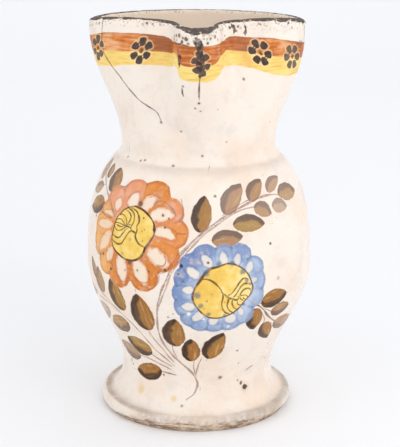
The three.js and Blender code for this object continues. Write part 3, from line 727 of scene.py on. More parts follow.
class Canvas:
    """The painted side of the vessel, where every mesh corner has a turn, a level and distances."""

    def __init__(self, rings, quads, first, last):
        # Turn and distance come from the length along each ring and up the profile
        closed = np.concatenate([rings, rings[:, :1]], 1)[..., :2]
        steps = np.linalg.norm(np.diff(closed, axis=1), axis=-1)
        along = np.concatenate([np.zeros((len(rings), 1)), np.cumsum(steps, 1)], 1)
        around = along[:, -1]
        turn = along[:, :-1] / around[:, None] * 360
        level = rings[:, :, 2].mean(1)
        radius = around / (2 * np.pi)
        up = lengths_along(np.stack([radius, level], 1))
        rows = quads // rings.shape[1]
        self.mask = ((rows >= first) & (rows < last)).all(1)
        row = rows[self.mask]
        flat_turn = turn.reshape(-1)[quads[self.mask]]
        middle = flat_turn[:, :1]
        self.turn = middle + (flat_turn - middle + 180) % 360 - 180
        self.turn = np.where(middle > 180, self.turn - 360, self.turn)
        self.level, self.height, self.reach = level[row], up[row], radius[row]
        self.levels, self.heights, self.radii = (part[first:last] for part in (level, up, radius))

    def height_at(self, level):
        return np.interp(level, self.levels, self.heights)

    def radius_at(self, level):
        return np.interp(level, self.levels, self.radii)

    def offset(self, turn, level, faces=slice(None)):
        """Sideways and upward distances of the faces' corners from a place."""
        corners = self.turn[faces]
        wrap = np.round((corners.mean(1, keepdims=True) - turn) / 360) * 360
        sideways = np.radians(corners - turn - wrap) * self.reach[faces]
        return sideways, self.height[faces] - self.height_at(level)

    def near(self, turn, level, reach):
        """The faces that lie within reach of a place."""
        sideways, upward = self.offset(turn, level)
        return np.flatnonzero(np.hypot(sideways[:, 0], upward[:, 0]) < reach)

    def blank(self, fill):
        return np.tile(np.array(fill, float), (*self.turn.shape, 1))

    def on_stroke(self, turn, level, tip_turn, tip_level, width, bend, *_):
        """The faces near a stroke, with their corners' shares along it and across it."""
        aside = math.radians(tip_turn - turn) * float(self.radius_at((level + tip_level) / 2))
        rise = float(self.height_at(tip_level) - self.height_at(level))
        length = math.hypot(aside, rise)
        way = (aside / length, rise / length)
        faces = self.near(turn, level, 1.5 * length + width)
        sideways, upward = self.offset(turn, level, faces)
        along = (sideways * way[0] + upward * way[1]) / length
        across = (upward * way[0] - sideways * way[1]) / (width / 2)
        return faces, along, across - bend * 4 * along * (1 - along)

    def strokes(self, shapes):
        """Each face's nearest stroke, as shares along it and across it, with the stroke's number."""
        best = np.full(len(self.turn), STROKE_LIMIT)
        found = self.blank((FAR, FAR, -1))
        for number, shape in enumerate(shapes):
            faces, along, across = self.on_stroke(*shape)
            gap = (2 * along.mean(1) - 1) ** 2 + across.mean(1) ** 2
            claim(best, faces, gap, found, along, across, number)
        return found

    def almonds(self, shapes, ends, sides, swell):
        """How far out each corner is from the nearest almond, 1 on its outline, and its strength."""
        found = self.blank((STROKE_LIMIT, 0, 0))
        for shape in shapes:
            faces, along, across = self.on_stroke(*shape)
            middle = 2 * along - 1
            wide = 1 + swell * np.clip(middle, -1, 1)
            value = np.minimum(np.abs(middle) ** ends + np.abs(across / wide) ** sides, STROKE_LIMIT)
            claim_corners(found, faces, value < found[faces, :, 0], value, shape[-1])
        return found

    def spots(self, shapes, limit):
        """Each face's nearest spot, as offsets in shares of its radius, with the spot's kind."""
        best = np.full(len(self.turn), float(limit))
        found = self.blank((FAR, FAR, 0))
        for turn, level, radius, kind in shapes:
            faces = self.near(turn, level, radius * limit + 2)
            sideways, upward = (part / radius for part in self.offset(turn, level, faces))
            gap = np.hypot(sideways.mean(1), upward.mean(1))
            claim(best, faces, gap, found, sideways, upward, kind)
        return found

    def flowers(self):
        """For each corner, its distance outside the flower, how alike the two nearest lobes are and
        the tint, and then its place in the flower's body and which flower it is."""
        shape = (len(FLOWERS), *self.turn.shape)
        nearest, second = np.full(shape, FAR), np.full(shape, FAR)
        tints, weights = np.zeros(shape), np.full(shape, TINY)
        for turn, level, radius, flower, tint in LOBES:
            away = np.hypot(*self.offset(turn, level))
            out = away - radius
            second[flower] = np.minimum(second[flower], np.maximum(out, nearest[flower]))
            nearest[flower] = np.minimum(nearest[flower], out)
            weight = np.exp(-3 * (away / radius) ** 2)
            tints[flower] += weight * tint
            weights[flower] += weight
        bodies = np.array([self.offset(turn, level) for turn, level, _ in FLOWERS])
        radii = np.array([radius for *_, radius in FLOWERS])[:, None, None]
        edges = np.minimum(nearest, np.hypot(bodies[:, 0], bodies[:, 1]) - radii)
        blue = (edges[1].mean(1) < edges[0].mean(1))[:, None]
        measures = (edges, second - nearest, tints / weights, bodies[:, 0] / radii, bodies[:, 1] / radii)
        picked = [np.where(blue, cool, warm) for warm, cool in measures]
        return np.stack(picked[:3], -1), np.stack([*picked[3:], blue * np.ones(self.turn.shape)], -1)

    def outlines(self, loops):
        """Each corner's distance inside the nearest closed outline, and the half width of its line."""
        found = self.blank((-FAR, 0, 0))
        for points in loops:
            fine = even_line([*points, points[0]], LINE_STEP)[:-1]
            faces = self.near(*fine[:, :2].mean(0), OUTLINE_REACH)
            heights, radii = self.height_at(fine[:, 1]), self.radius_at(fine[:, 1])
            heading = np.stack([np.radians(np.gradient(fine[:, 0])) * radii, np.gradient(heights)], 1)
            heading /= np.linalg.norm(heading, axis=1, keepdims=True)
            sideways = np.radians(self.turn[faces][..., None] - fine[:, 0]) * self.reach[faces][..., None]
            upward = self.height[faces][..., None] - heights
            gaps = np.hypot(sideways, upward)
            at = gaps.argmin(-1)[..., None]
            side, rise = (np.take_along_axis(part, at, -1)[..., 0] for part in (sideways, upward))
            at = at[..., 0]
            inside = side * heading[at, 1] - rise * heading[at, 0]
            inside = np.where(gaps.min(-1) < 2, inside, np.sign(inside) * gaps.min(-1))
            claim_corners(found, faces, inside > found[faces, :, 0], inside, fine[at, 2])
        return found

    def lines(self, runs):
        """Each face's nearest line: distance across it, its half width there, and its kind."""
        best = np.full(len(self.turn), LINE_REACH)
        found = self.blank((FAR, 0, 0))
        middles = (part.mean(1) for part in (self.turn, self.level, self.height, self.reach))
        turns, levels, middle_heights, reaches = middles
        for half, kind, flat in runs:
            fine = even_line(np.reshape(flat, (-1, 2)), LINE_STEP)
            heights = self.height_at(fine[:, 1])
            heading = np.gradient(np.radians(fine[:, 0])) * self.radius_at(fine[:, 1]), np.gradient(heights)
            length = np.hypot(*heading)
            along = np.linspace(0, 1, len(fine))
            worn = 0.85 + 0.3 * np.sin(np.arange(len(fine)) * 0.31 + half * 40)
            width = half * worn * np.clip(np.minimum(along, 1 - along) * 9 + 0.45, 0, 1)
            (left, low), (right, high) = fine.min(0) - LINE_MARGIN, fine.max(0) + LINE_MARGIN
            near = np.flatnonzero((turns > left) & (turns < right) & (levels > low) & (levels < high))
            sideways = np.radians(turns[near, None] - fine[None, :, 0]) * reaches[near, None]
            upward = middle_heights[near, None] - heights[None]
            gaps = np.hypot(sideways, upward)
            at, each = gaps.argmin(1), np.arange(len(near))
            ahead = sideways[each, at] * heading[0][at] + upward[each, at] * heading[1][at]
            ahead /= length[at]
            past = ((at == 0) & (ahead < -0.7)) | ((at == len(fine) - 1) & (ahead > 0.7))
            gap = np.where(past, FAR, gaps.min(1) - width[at])
            side = np.radians(self.turn[near] - fine[at, 0, None]) * self.reach[near]
            rise = self.height[near] - heights[at, None]
            way = heading[0][at, None] / length[at, None], heading[1][at, None] / length[at, None]
            across = rise * way[0] - side * way[1]
            claim(best, near, gap, found, across, width[at, None], kind)
        return found

    def band(self):
        """Distances below the brown's top, below its lower edge and above the yellow's lower edge."""
        turn = half_turns(self.turn)
        edges = []
        for places in (BAND_TOP, BAND_MIDDLE, BAND_BOTTOM):
            fine = even_line([*places, (180, places[0][1])], 2.0)
            edges.append(np.interp(turn, fine[:, 0], fine[:, 1]))
        top, middle, bottom = edges
        return np.stack([top - self.level, middle - self.level, self.level - bottom], -1)


def claim(best, faces, gap, found, *values):
    """Gives the faces that are nearer than before these values at their corners."""
    closer = gap < best[faces]
    near = faces[closer]
    best[near] = gap[closer]
    for k, value in enumerate(values):
        found[near, :, k] = value[closer] if np.ndim(value) else value


def claim_corners(found, faces, closer, *values):
    for k, value in enumerate(values):
        found[faces, :, k] = np.where(closer, value, found[faces, :, k])


def half_turns(turns):
    """Turns brought between -180 and 180 degrees."""
    return (turns + 180) % 360 - 180


def spread_over(canvas, count, values, fill):
    """The values of the painted faces' corners, with the fill on every other corner."""
    whole = np.tile(np.array(fill, float), (count, 1))
    quads = np.flatnonzero(canvas.mask)
    whole[(quads[:, None] * 4 + np.arange(4)).reshape(-1)] = values.reshape(-1, len(fill))
    return whole


def grid_faces(rows, columns, first):
    """Quads between neighbouring rings, which close round the columns."""
    row, column = np.meshgrid(np.arange(rows - 1), np.arange(columns), indexing="ij")
    a = row * columns + column
    b = row * columns + (column + 1) % columns
    return np.stack([a, b, b + columns, a + columns], -1).reshape(-1, 4) + first


def grid_unwrap(heights, columns, left, right):
    """The flat picture's places for the corners of grid_faces."""
    row, column = np.meshgrid(np.arange(len(heights) - 1), np.arange(columns), indexing="ij")
    u, step = left + (right - left) * column / columns, (right - left) / columns
    low, high = heights[row], heights[row + 1]
    return np.stack([u, low, u + step, low, u + step, high, u, high], -1).reshape(-1, 2)


def fan(ring_start, columns, middle, flip):
    """Triangles from a ring to its middle."""
    column = np.arange(columns)
    a = ring_start + column
    b = ring_start + (column + 1) % columns
    middles = np.full(columns, middle)
    return np.stack((middles, a, b) if flip else (middles, b, a), -1)


def fan_unwrap(columns, left, right, ring, middle, flip):
    step = (right - left) / columns
    u = left + step * np.arange(columns)
    a = np.stack([u, np.full(columns, ring)], -1)
    b = a + (step, 0)
    middles = np.stack([u + step / 2, np.full(columns, middle)], -1)
    return np.concatenate([middles, a, b] if flip else [middles, b, a], -1).reshape(-1, 2)


def unwrap_heights(rings, at):
    """Each ring's height in the flat picture, where the plain inside and underside are squeezed."""
    steps = np.diff(lengths_along(mean_profile(rings)))
    steps[: at["edge"]] *= UNDERSIDE_SHARE
    steps[at["inner"] + 3 :] *= INSIDE_SHARE
    heights = np.concatenate([[0], np.cumsum(steps)])
    return UNWRAP_MARGIN + (1 - 2 * UNWRAP_MARGIN) * heights / heights[-1]


def build_jug():
    places = column_places()
    rings, at = vessel_rings(places)
    rows, columns = rings.shape[:2]
    quads = grid_faces(rows, columns, 0)
    rim, foot = wear_fields(rings, at, places)
    shaped = swayed(thrown(rings, at, rim, foot))
    middles = swayed(np.array([[0, 0, 0], [0, 0, FLOOR]], float))
    strap = swayed(handle_rings())
    strap_rows, strap_sides = strap.shape[:2]
    ends = strap[[0, -1]].mean(1)
    points = np.concatenate([shaped.reshape(-1, 3), middles, strap.reshape(-1, 3), ends])
    under_middle = rows * columns
    strap_start = under_middle + 2
    strap_middle = strap_start + strap_rows * strap_sides
    strap_quads = grid_faces(strap_rows, strap_sides, strap_start)
    fans = [
        fan(0, columns, under_middle, False),
        fan((rows - 1) * columns, columns, under_middle + 1, True),
        fan(strap_start, strap_sides, strap_middle, False),
        fan(strap_middle - strap_sides, strap_sides, strap_middle + 1, True),
    ]
    faces = np.concatenate([quads, strap_quads]).tolist() + np.concatenate(fans).tolist()
    mesh = bpy.data.meshes.new("jug_painted")
    mesh.from_pydata((points * MM).tolist(), [], faces)
    mesh.update()
    mesh.shade_smooth()

    heights = unwrap_heights(rings, at)
    strap_heights = np.linspace(UNWRAP_MARGIN, 1 - UNWRAP_MARGIN, strap_rows)
    flat = np.concatenate([
        grid_unwrap(heights, columns, 0, UNWRAP_SPLIT),
        grid_unwrap(strap_heights, strap_sides, UNWRAP_STRAP, 1),
        fan_unwrap(columns, 0, UNWRAP_SPLIT, heights[0], 0, False),
        fan_unwrap(columns, 0, UNWRAP_SPLIT, heights[-1], 1, True),
        fan_unwrap(strap_sides, UNWRAP_STRAP, 1, strap_heights[0], 0, False),
        fan_unwrap(strap_sides, UNWRAP_STRAP, 1, strap_heights[-1], 1, True),
    ])
    mesh.uv_layers.new(name="OFBake").data.foreach_set("uv", flat.astype(np.float32).reshape(-1))

    canvas = Canvas(rings, quads, at["lip"] + 2, at["rim"] + 6)
    leaf = canvas.strokes(LEAVES)
    looks = np.array([shape[6:] for shape in LEAVES] + [PLAIN_LEAF])
    look = np.repeat(looks[leaf[:, :1, 2].astype(int)], 4, 1)
    petals, flower = canvas.flowers()
    tone = by_turn(half_turns(canvas.turn), BAND_TONE)
    painted_corners = [
        ("leaf", leaf, (FAR, FAR, 0)),
        ("leaf_look", look, PLAIN_LEAF),
        ("window", canvas.almonds(WINDOWS, 2.0, 1.5, -0.1), (STROKE_LIMIT, 0, 0)),
        ("rosette", canvas.almonds(rosette_petals(), 3.0, 2.4, 0.34), (STROKE_LIMIT, 0, 0)),
        ("petals", petals, (FAR, FAR, 0)),
        ("flower", flower, (FAR, FAR, 0)),
        ("disc", canvas.outlines(DISCS), (-FAR, 0, 0)),
        ("speck", canvas.spots(SPECKS, 4.0), (FAR, FAR, 0)),
        ("line", canvas.lines(LINES), (FAR, 0, 0)),
        ("band", canvas.band(), (-FAR, -FAR, -FAR)),
        ("band_tone", np.stack([tone, tone, tone], -1), (0, 0, 0)),
    ]
    layers = [(name, spread_over(canvas, len(mesh.loops), *rest)) for name, *rest in painted_corners]
    layers.append(("wear", wear_corners(mesh, rings, at, rim, foot, len(points))))
    for name, values in layers:
        layer = mesh.attributes.new(name, "FLOAT_VECTOR", "CORNER")
        layer.data.foreach_set("vector", values.astype(np.float32).reshape(-1))
    return linked("jug_glazed", mesh)


def linked(name, data):
    made = bpy.data.objects.new(name, data)
    bpy.context.collection.objects.link(made)
    return made


def rosette_petals():
    """The strokes of every rosette: six wedges like the spokes of a wheel."""
    petals = []
    for turn, level, wide, high, lean, strength in ROSETTES:
        for angle in np.radians(np.arange(0, 360, 60) + lean):
            aside = math.degrees(wide * math.sin(angle) / (MOUTH_DIAMETER / 2))
            rise = high * math.cos(angle)
            inner = (turn + PETAL_START * aside, level + PETAL_START * rise)
            width = PETAL_WIDTH * (wide + high) / 2
            petals.append((*inner, turn + aside, level + rise, width, 0, strength))
    return petals


def wear_corners(mesh, rings, at, rim, foot, count):
    """The rim's and the foot's wear, and 1 where the surface is inside the vessel or 2 where it is
    the unglazed underside."""
    rows, columns = rings.shape[:2]
    region = np.zeros(rows)
    region[at["rim"] + 7 :] = 1
    region[: at["edge"] + 1] = 2
    body = rows * columns
    values = np.tile((FAR, FAR, 0.0), (count, 1))
    values[:body] = np.stack([rim.reshape(-1), foot.reshape(-1), np.repeat(region, columns)], 1)
    values[body] = (FAR, 0, 2)
    values[body + 1] = (FAR, FAR, 1)
    corner_points = np.zeros(len(mesh.loops), int)
    mesh.loops.foreach_get("vertex_index", corner_points)
    return values[corner_points]


def srgb(red, green, blue):
    """A colour given in 0 to 255 as the linear values that the shader takes."""
    parts = (red / 255, green / 255, blue / 255)
    return tuple(c / 12.92 if c <= 0.04045 else ((c + 0.055) / 1.055) ** 2.4 for c in parts)


GLAZE = srgb(244, 232, 219)
GLAZE_WARM = srgb(242, 222, 203)
GLAZE_GREY = srgb(228, 217, 209)
GLAZE_INSIDE = srgb(234, 216, 196)
GLAZE_STAIN = srgb(222, 206, 194)
PORE = srgb(176, 150, 128)
CREASE_SHADE = srgb(196, 176, 160)
# Dirt and painted shade on the foot: brownish on the left, grey on the right
DIRT_SHADE_BROWN = srgb(140, 114, 94)
DIRT_SHADE_GREY = srgb(138, 128, 118)

OCHRE = srgb(162, 104, 44)
OLIVE = srgb(170, 130, 56)
BEIGE = srgb(184, 146, 114)
LEAF_STRAW = srgb(196, 156, 96)
LEAF_RUST = srgb(138, 88, 42)
LEAF_BLACK = srgb(52, 34, 22)
LEAF_DARK = srgb(70, 46, 28)
LEAF_BROWN = srgb(112, 80, 50)
LEAF_MAUVE = srgb(112, 92, 86)

STEM_PALE = srgb(174, 128, 118)
STEM_BROWN = srgb(104, 72, 60)
INK_BROWN = srgb(72, 46, 26)
INK_WARM = srgb(112, 76, 30)
CRACK_GREY = srgb(96, 86, 82)
PETAL_BROWN = srgb(172, 92, 40)
MAUVE_GREY = srgb(146, 118, 110)

PEACH = srgb(236, 172, 138)
SALMON = srgb(228, 148, 102)
TANGERINE = srgb(226, 138, 50)
ORANGE = srgb(214, 121, 2)
ORANGE_DARK = srgb(172, 84, 12)
GOLD_PALE = srgb(242, 190, 116)
GOLD = srgb(236, 160, 64)
BLUE_MIST = srgb(188, 202, 222)
BLUE_PALE = srgb(168, 186, 212)
BLUE = srgb(122, 146, 190)
BLUE_DEEP = srgb(108, 132, 182)
BLUE_DARK = srgb(88, 112, 162)
WINDOW_WARM = srgb(244, 227, 206)
WINDOW_COOL = srgb(240, 229, 212)
YELLOW = srgb(244, 206, 104)
YELLOW_DEEP = srgb(236, 190, 84)
YELLOW_PALE = srgb(250, 226, 150)

BAND_PALE = srgb(234, 176, 124)
BAND_LIGHT = srgb(224, 138, 64)
BAND_BROWN = srgb(192, 97, 8)
BAND_DARK = srgb(158, 80, 6)
BAND_YELLOW = srgb(246, 210, 108)
BAND_GOLD = srgb(230, 174, 76)
BAND_CREAM = srgb(249, 224, 142)
BAND_AMBER = srgb(232, 160, 70)
MANGANESE = srgb(56, 42, 42)
MANGANESE_THIN = srgb(96, 72, 60)
ROSETTE_HALO = srgb(246, 220, 166)

SPECK_HALO = srgb(176, 140, 110)
SPECK_PALE = srgb(150, 110, 80)
SPECK_DARK = srgb(70, 54, 46)
SMUDGE_BLUE = srgb(90, 104, 122)
STAIN_YELLOW = srgb(236, 204, 150)
EYE_BROWN = srgb(112, 74, 46)

WORN_DARK = srgb(60, 50, 47)
WORN_LIGHT = srgb(138, 112, 92)
WORN_PALE = srgb(214, 190, 164)
FLECK_BROWN = srgb(120, 92, 70)
FOOT_STAIN = srgb(160, 132, 112)
FOOT_DARK = srgb(132, 106, 90)
FOOT_PALE = srgb(236, 216, 196)
BISCUIT = srgb(226, 204, 182)
BISCUIT_DARK = srgb(158, 132, 112)
UNDER_DARK = srgb(176, 138, 108)
UNDER_PALE = srgb(204, 170, 140)

GLAZE_SPECULAR = 0.28
BUMP_STRENGTH = 0.35
BUMP_DEPTH = 0.25 * MM

majolica = bpy.data.materials.new("majolica")
majolica.use_nodes = True
tree = majolica.node_tree
tree.nodes.clear()


class Value:
    """A shader node's output, which takes part in sums and products as a number does."""

    def __init__(self, socket):
        self.socket = socket

    def __add__(self, other):
        return maths("ADD", self, other)

    def __sub__(self, other):
        return maths("SUBTRACT", self, other)

    def __rsub__(self, other):
        return maths("SUBTRACT", other, self)

    def __mul__(self, other):
        return maths("MULTIPLY", self, other)

    def __abs__(self):
        return maths("ABSOLUTE", self)

    __radd__, __rmul__ = __add__, __mul__


def feed(socket, value):
    if isinstance(value, Value):
        tree.links.new(value.socket, socket)
    elif isinstance(value, tuple) and socket.type == "RGBA":
        socket.default_value = (*value, 1)
    else:
        socket.default_value = value


def node(kind, inputs=(), output=0, **settings):
    """The output of a new node, with its settings made and its inputs fed."""
    made = tree.nodes.new(kind)
    for key, value in settings.items():
        setattr(made, key, value)
    for key, value in dict(inputs).items():
        feed(made.inputs[key], value)
    return Value(made.outputs[output])


def maths(operation, a, b=0.0, clamp=False):
    return node("ShaderNodeMath", {0: a, 1: b}, operation=operation, use_clamp=clamp)


def clipped(value, times=1.0):
    return maths("MULTIPLY", value, times, clamp=True)


def biggest(a, b):
    return maths("MAXIMUM", a, b)


def distance(u, v):
    return maths("SQRT", u * u + v * v)


def step(value, low, high):
    """Rises smoothly from 0 at low to 1 at high, and falls if low is the larger."""
    limits = {"Value": value, "From Min": low, "From Max": high}
    return node("ShaderNodeMapRange", limits, interpolation_type="SMOOTHSTEP")


def numbers(vector):
    """The three numbers of a vector."""
    split = tree.nodes.new("ShaderNodeSeparateXYZ")
    feed(split.inputs[0], vector)
    return [Value(part) for part in split.outputs]


def painted(name):
    """The three numbers that the mesh's corners carry under a name."""
    return numbers(node("ShaderNodeAttribute", output="Vector", attribute_name=name))


place = node(
    "ShaderNodeVectorMath",
    {0: node("ShaderNodeTexCoord", output="Object"), "Scale": 1 / MM},
    operation="SCALE",
)


def stretched(x, y, z):
    return node("ShaderNodeMapping", {"Vector": place, "Scale": (x, y, z)})


def grain(size, detail=2.0, roughness=0.5, seed=0.0, at=place):
    """Noise from 0 to 1 with features about size millimetres wide."""
    moved = node("ShaderNodeVectorMath", {0: at, 1: (seed, seed * 0.7, -seed)}, operation="ADD")
    looks = {"Vector": moved, "Scale": 1.0 / size, "Detail": detail, "Roughness": roughness}
    return node("ShaderNodeTexNoise", looks)


def wander(amount, size, detail=2.0, roughness=0.5, seed=0.0):
    """Noise about nought, over a whole range of amount."""
    return (grain(size, detail, roughness, seed) - 0.5) * amount


def mix(part, a, b):
    return node("ShaderNodeMix", {0: part, 6: a, 7: b}, 2, data_type="RGBA", clamp_factor=True)


def shade(value, *stops):
    """A colour ramp through (place, colour) stops."""
    made = tree.nodes.new("ShaderNodeValToRGB")
    ramp = made.color_ramp
    while len(ramp.elements) < len(stops):
        ramp.elements.new(0.5)
    for element, (where, colour) in zip(ramp.elements, stops):
        element.position = where
        element.color = (*colour, 1)
    feed(made.inputs[0], value)
    return Value(made.outputs[0])


def by_kind(kind, colour, *paints):
    """The colour, replaced by each paint from its number of kind upward."""
    for number, paint in paints:
        colour = mix(step(kind, number - 0.12, number - 0.04), colour, paint)
    return colour


def paint_band(colour):
    """The brown and yellow band below the rim, in streaky strokes that run round the mouth."""
    below_top, below_middle, above_bottom = painted("band")
    dark = painted("band_tone")[0]
    wobble = wander(1.5, 8, 3)
    streak = grain(1.5, 3, 0.6, at=stretched(0.1, 0.1, 1.0))
    in_top = step(below_top + wobble, -0.35, 0.4)
    in_bottom = step(above_bottom + wobble, -0.4, 0.5)
    tone = dark + ((streak - 0.5) * 1.3 + wander(1.2, 12, 3, 0.6, 9.0))
    brown = shade(tone, (0.1, BAND_PALE), (0.35, BAND_LIGHT), (0.65, BAND_BROWN), (1.0, BAND_DARK))
    brown = mix(step(below_top, 1.7, 0.1) * 0.6, brown, BAND_DARK)
    low_edge = step(abs(below_middle + 0.6), 1.1, 0.2) * step(tone, 0.4, 0.8)
    brown = mix(low_edge * 0.7, brown, BAND_DARK)
    yellow = shade(streak, (0.3, BAND_GOLD), (0.48, BAND_YELLOW), (0.7, BAND_CREAM))
    yellow = mix(step(tone, 0.85, 1.25) * 0.55, yellow, BAND_AMBER)
    stroke = mix(step(below_middle + wobble * 0.5, -0.25, 0.4), brown, yellow)
    return mix(in_top * in_bottom * (0.86 + streak * 0.2), colour, stroke)


def paint_rosettes(colour):
    almond, tone, _ = painted("rosette")
    petal = step(almond + wander(0.35, 2.5, 2), 1.15, 0.75)
    colour = mix(step(almond, 2.3, 1.3) * 0.5, colour, ROSETTE_HALO)
    dark = shade(grain(2.2, 3), (0.3, MANGANESE), (0.72, MANGANESE_THIN))
    return mix(petal * tone, colour, dark)


def paint_flowers(colour):
    """The scalloped orange and blue flowers: overlapping strokes, bare windows and a yellow disc."""
    edge, crease, tint = painted("petals")
    u, v, blue = painted("flower")
    edge = edge + wander(2.2, 7, 3, 0.6)
    petals = step(edge, 0.35, -0.35)
    radius = distance(u, v)
    wash = grain(9, 3, 0.55, 3.0)
    fine = grain(2.4, 3, 0.55, 5.0)
    mottled = wash * 0.75 + fine * 0.25
    strong = tint + (mottled - 0.5) * 2.0 - step(radius, 1.02, 0.8) * blue * 0.55
    warm = shade(strong, (0.0, PEACH), (0.3, SALMON), (0.6, TANGERINE), (0.95, ORANGE))
    warm = mix(step(u, -0.45, -0.85) * step(v, 0.75, 0.3), warm, mix(strong, GOLD_PALE, GOLD))
    cool = shade(strong, (0.0, BLUE_MIST), (0.35, BLUE_PALE), (0.75, BLUE), (1.0, BLUE_DEEP))
    pooled = step(edge, -3.2, -0.4)
    overlap = step(crease, 2.0, 0.4) * step(radius, 0.62, 0.85)
    dark = (pooled * 0.6 + overlap * 0.45) * step(mottled, 0.66, 0.42)
    deep = mix(blue, ORANGE_DARK, BLUE_DARK)
    paint = mix(maths("MINIMUM", dark, 0.75), mix(blue, warm, cool), deep)
    watery = step(fine, 0.54, 0.74) * 0.35 + step(wash, 0.56, 0.7) * 0.22
    paint = mix(watery, paint, GLAZE_WARM)
    almond, strength, _ = painted("window")
    almond = almond + wander(1.3, 3.2, 3, 0.6)
    window = step(almond, 1.4, 0.55) * strength
    rimmed = step(almond, 2.1, 1.25) * step(almond, 1.0, 1.3)
    paint = mix(rimmed * 0.35, paint, deep)
    cover = petals * (0.97 - window * 0.9)
    colour = mix(petals * window, colour, mix(blue, WINDOW_WARM, WINDOW_COOL))
    colour = mix(cover, colour, paint)

    inside, half, _ = painted("disc")
    hue = grain(6, 3, 0.6, 2.0) + (0.0 - u) * blue * 0.25
    yellow = shade(hue, (0.3, YELLOW_PALE), (0.5, YELLOW), (0.72, YELLOW_DEEP))
    in_disc = step(inside, -0.2, 0.2)
    colour = mix(in_disc, colour, yellow)
    ring = step(abs(inside + wander(0.5, 6, 2, 0.5, 7.0)), half + 0.34, half - 0.18)
    pressure = 0.65 + step(grain(4, 2, 0.5, 13.0), 0.36, 0.5) * 0.35
    colour = mix(ring * pressure, colour, mix(blue, INK_BROWN, INK_WARM))
    return colour, biggest(cover, in_disc)


def paint_leaves(colour, flowers):
    """Leaves of two strokes: an ochre one, and a dark one along one side and round the tip."""
    along, across, number = painted("leaf")
    dark, thin, tint = painted("leaf_look")
    base = clipped(biggest(along, 0.0))
    to_tip = maths("SUBTRACT", 1.0, base, clamp=True)
    half = 2.42 * (maths("POWER", base, 0.56) * maths("POWER", to_tip, 0.74))
    edge = half - abs(across) - wander(0.3, 4.5, 3, 0.55)
    leaf_place = node("ShaderNodeCombineXYZ", {0: along * 1.3, 1: across * 2.0, 2: number * 3.7})
    bristle = grain(0.6, 3, 0.6, 4.0, at=leaf_place)
    wash = grain(5.5, 3, 0.55, 6.0) - 0.5
    ochre = mix(tint + wash * 1.5, OCHRE, OLIVE)
    ochre = mix(step(bristle, 0.5, 0.72), ochre, LEAF_STRAW)
    ochre = mix(step(bristle, 0.48, 0.3) * 0.5, ochre, LEAF_RUST)
    ochre = mix(clipped(thin, 1.3), ochre, BEIGE)
    lean = maths("DIVIDE", across * maths("SIGN", dark), biggest(half, 0.2))
    ends = step(along, 0.66, 0.98) * 0.9, step(along, 0.17, 0.0) * 0.6
    stroke = lean + ends[0] + ends[1] + (bristle - 0.5) * 0.9 + wash * 0.9
    deep = shade(bristle, (0.35, LEAF_BLACK), (0.55, LEAF_DARK), (0.8, LEAF_BROWN))
    deep = mix(clipped(thin, 1.8), deep, LEAF_MAUVE)
    paint = mix(step(stroke, 0.04, 0.46) * abs(dark), ochre, deep)
    paint = mix(step(edge, 0.26, 0.04) * (0.42 - thin * 0.4), paint, LEAF_DARK)
    cover = step(edge, -0.03, 0.1) * (1.0 - thin * 0.25) * (1.0 - flowers * 0.85)
    return mix(cover, colour, paint)


def paint_lines(colour, flowers):
    """Stems, ink, cracks and worn streaks, where a stem passes under the flowers."""
    across, half, kind = painted("line")
    bare = step(kind, 4.4, 4.6)
    gap = abs(across + wander(0.5, 5, 2) + wander(3.2, 3.5, 3, 0.6) * bare)
    worn = grain(2.6, 3, 0.6, 8.0)
    line = step(gap, half + 0.36, half - 0.2)
    ink = mix(clipped(kind, 1.25), STEM_PALE, STEM_BROWN)
    ink = by_kind(kind, ink, (INK, INK_BROWN), (WARM_INK, INK_WARM), (CRACK, CRACK_GREY),
                  (PETAL_EDGE, PETAL_BROWN), (MAUVE, MAUVE_GREY))
    ink = mix(bare, ink, mix(step(worn, 0.42, 0.7) * 0.7, WORN_DARK, WORN_LIGHT))
    strength = 0.72 + step(kind, 0.0, 1.0) * 0.25
    strength = strength - step(kind, 2.4, 2.9) * step(kind, 4.6, 4.4) * 0.3
    strength = strength * (0.74 + step(worn, 0.62, 0.4) * 0.26)
    drawn = step(half, 0.04, 0.1) * (1.0 - flowers * step(kind, 0.9, 0.85) * 0.8)
    return mix(line * strength * drawn, colour, ink)


def paint_specks(colour):
    u, v, kind = painted("speck")
    radius = distance(u, v) + wander(1.0, 1.6, 2)
    tone = clipped(kind)
    smeared = step(kind, 1.8, 1.95) * step(kind, 3.2, 3.1)
    halo = step(radius, 2.4, 1.0) * (tone * 0.2) * step(kind, 1.9, 1.8)
    colour = mix(halo, colour, SPECK_HALO)
    spot = by_kind(kind, mix(tone, SPECK_PALE, SPECK_DARK), (BLUE_GREY, SMUDGE_BLUE),
                   (YELLOW_STAIN, STAIN_YELLOW), (WHITE_FLECK, GLAZE), (EYE, EYE_BROWN), (BLOT, MANGANESE))
    firm = step(radius, 1.15, 0.7) * (0.25 + tone * 0.7)
    loose = step(radius, 1.35, 0.4) * 0.72
    cover = node("ShaderNodeMix", {0: smeared, 2: firm, 3: loose}, data_type="FLOAT")
    return mix(cover, colour, spot)


def paint_dirt_and_shade(colour):
    """Dirt and painted shade along the groove above the foot's lip and over the flare, stronger at the
    sides, and a faint painted shade where the neck meets the shoulder.
    """
    x, y, z = numbers(place)
    across = distance(x, y)
    patchy = grain(13, 3, 0.55, 47.0)
    low = step(z, 17.0, 12.0)
    # Dirt and painted shade: darker along the foot's groove and over the flare, more towards the left and
    # right sides
    line = step(abs(across - FOOT_DIRT_SHADE_RADIUS), 5.5, 0.5) * low
    broad = step(across, 55.0, 63.0) * low
    sides = step(abs(x), 18.0, 52.0)
    amount = line * (0.3 + sides * 0.15) + broad * (sides * 0.3)
    roll = step(across, 64.8, 66.4) * (0.15 + sides * 0.7)
    amount = amount * (step(patchy, -0.1, 0.8) * (1.0 - roll))
    colour = mix(amount, colour, mix(step(x, -10.0, 30.0), DIRT_SHADE_BROWN, DIRT_SHADE_GREY))
    # Painted shade: a faint darker band in the crease under the neck, broken up by noise
    above = z - CREASE_LEVEL
    crease = step(above, 2.2, 0.0) * step(above, -6.0, 0.0)
    return mix(crease * (patchy * 0.62), colour, CREASE_SHADE)


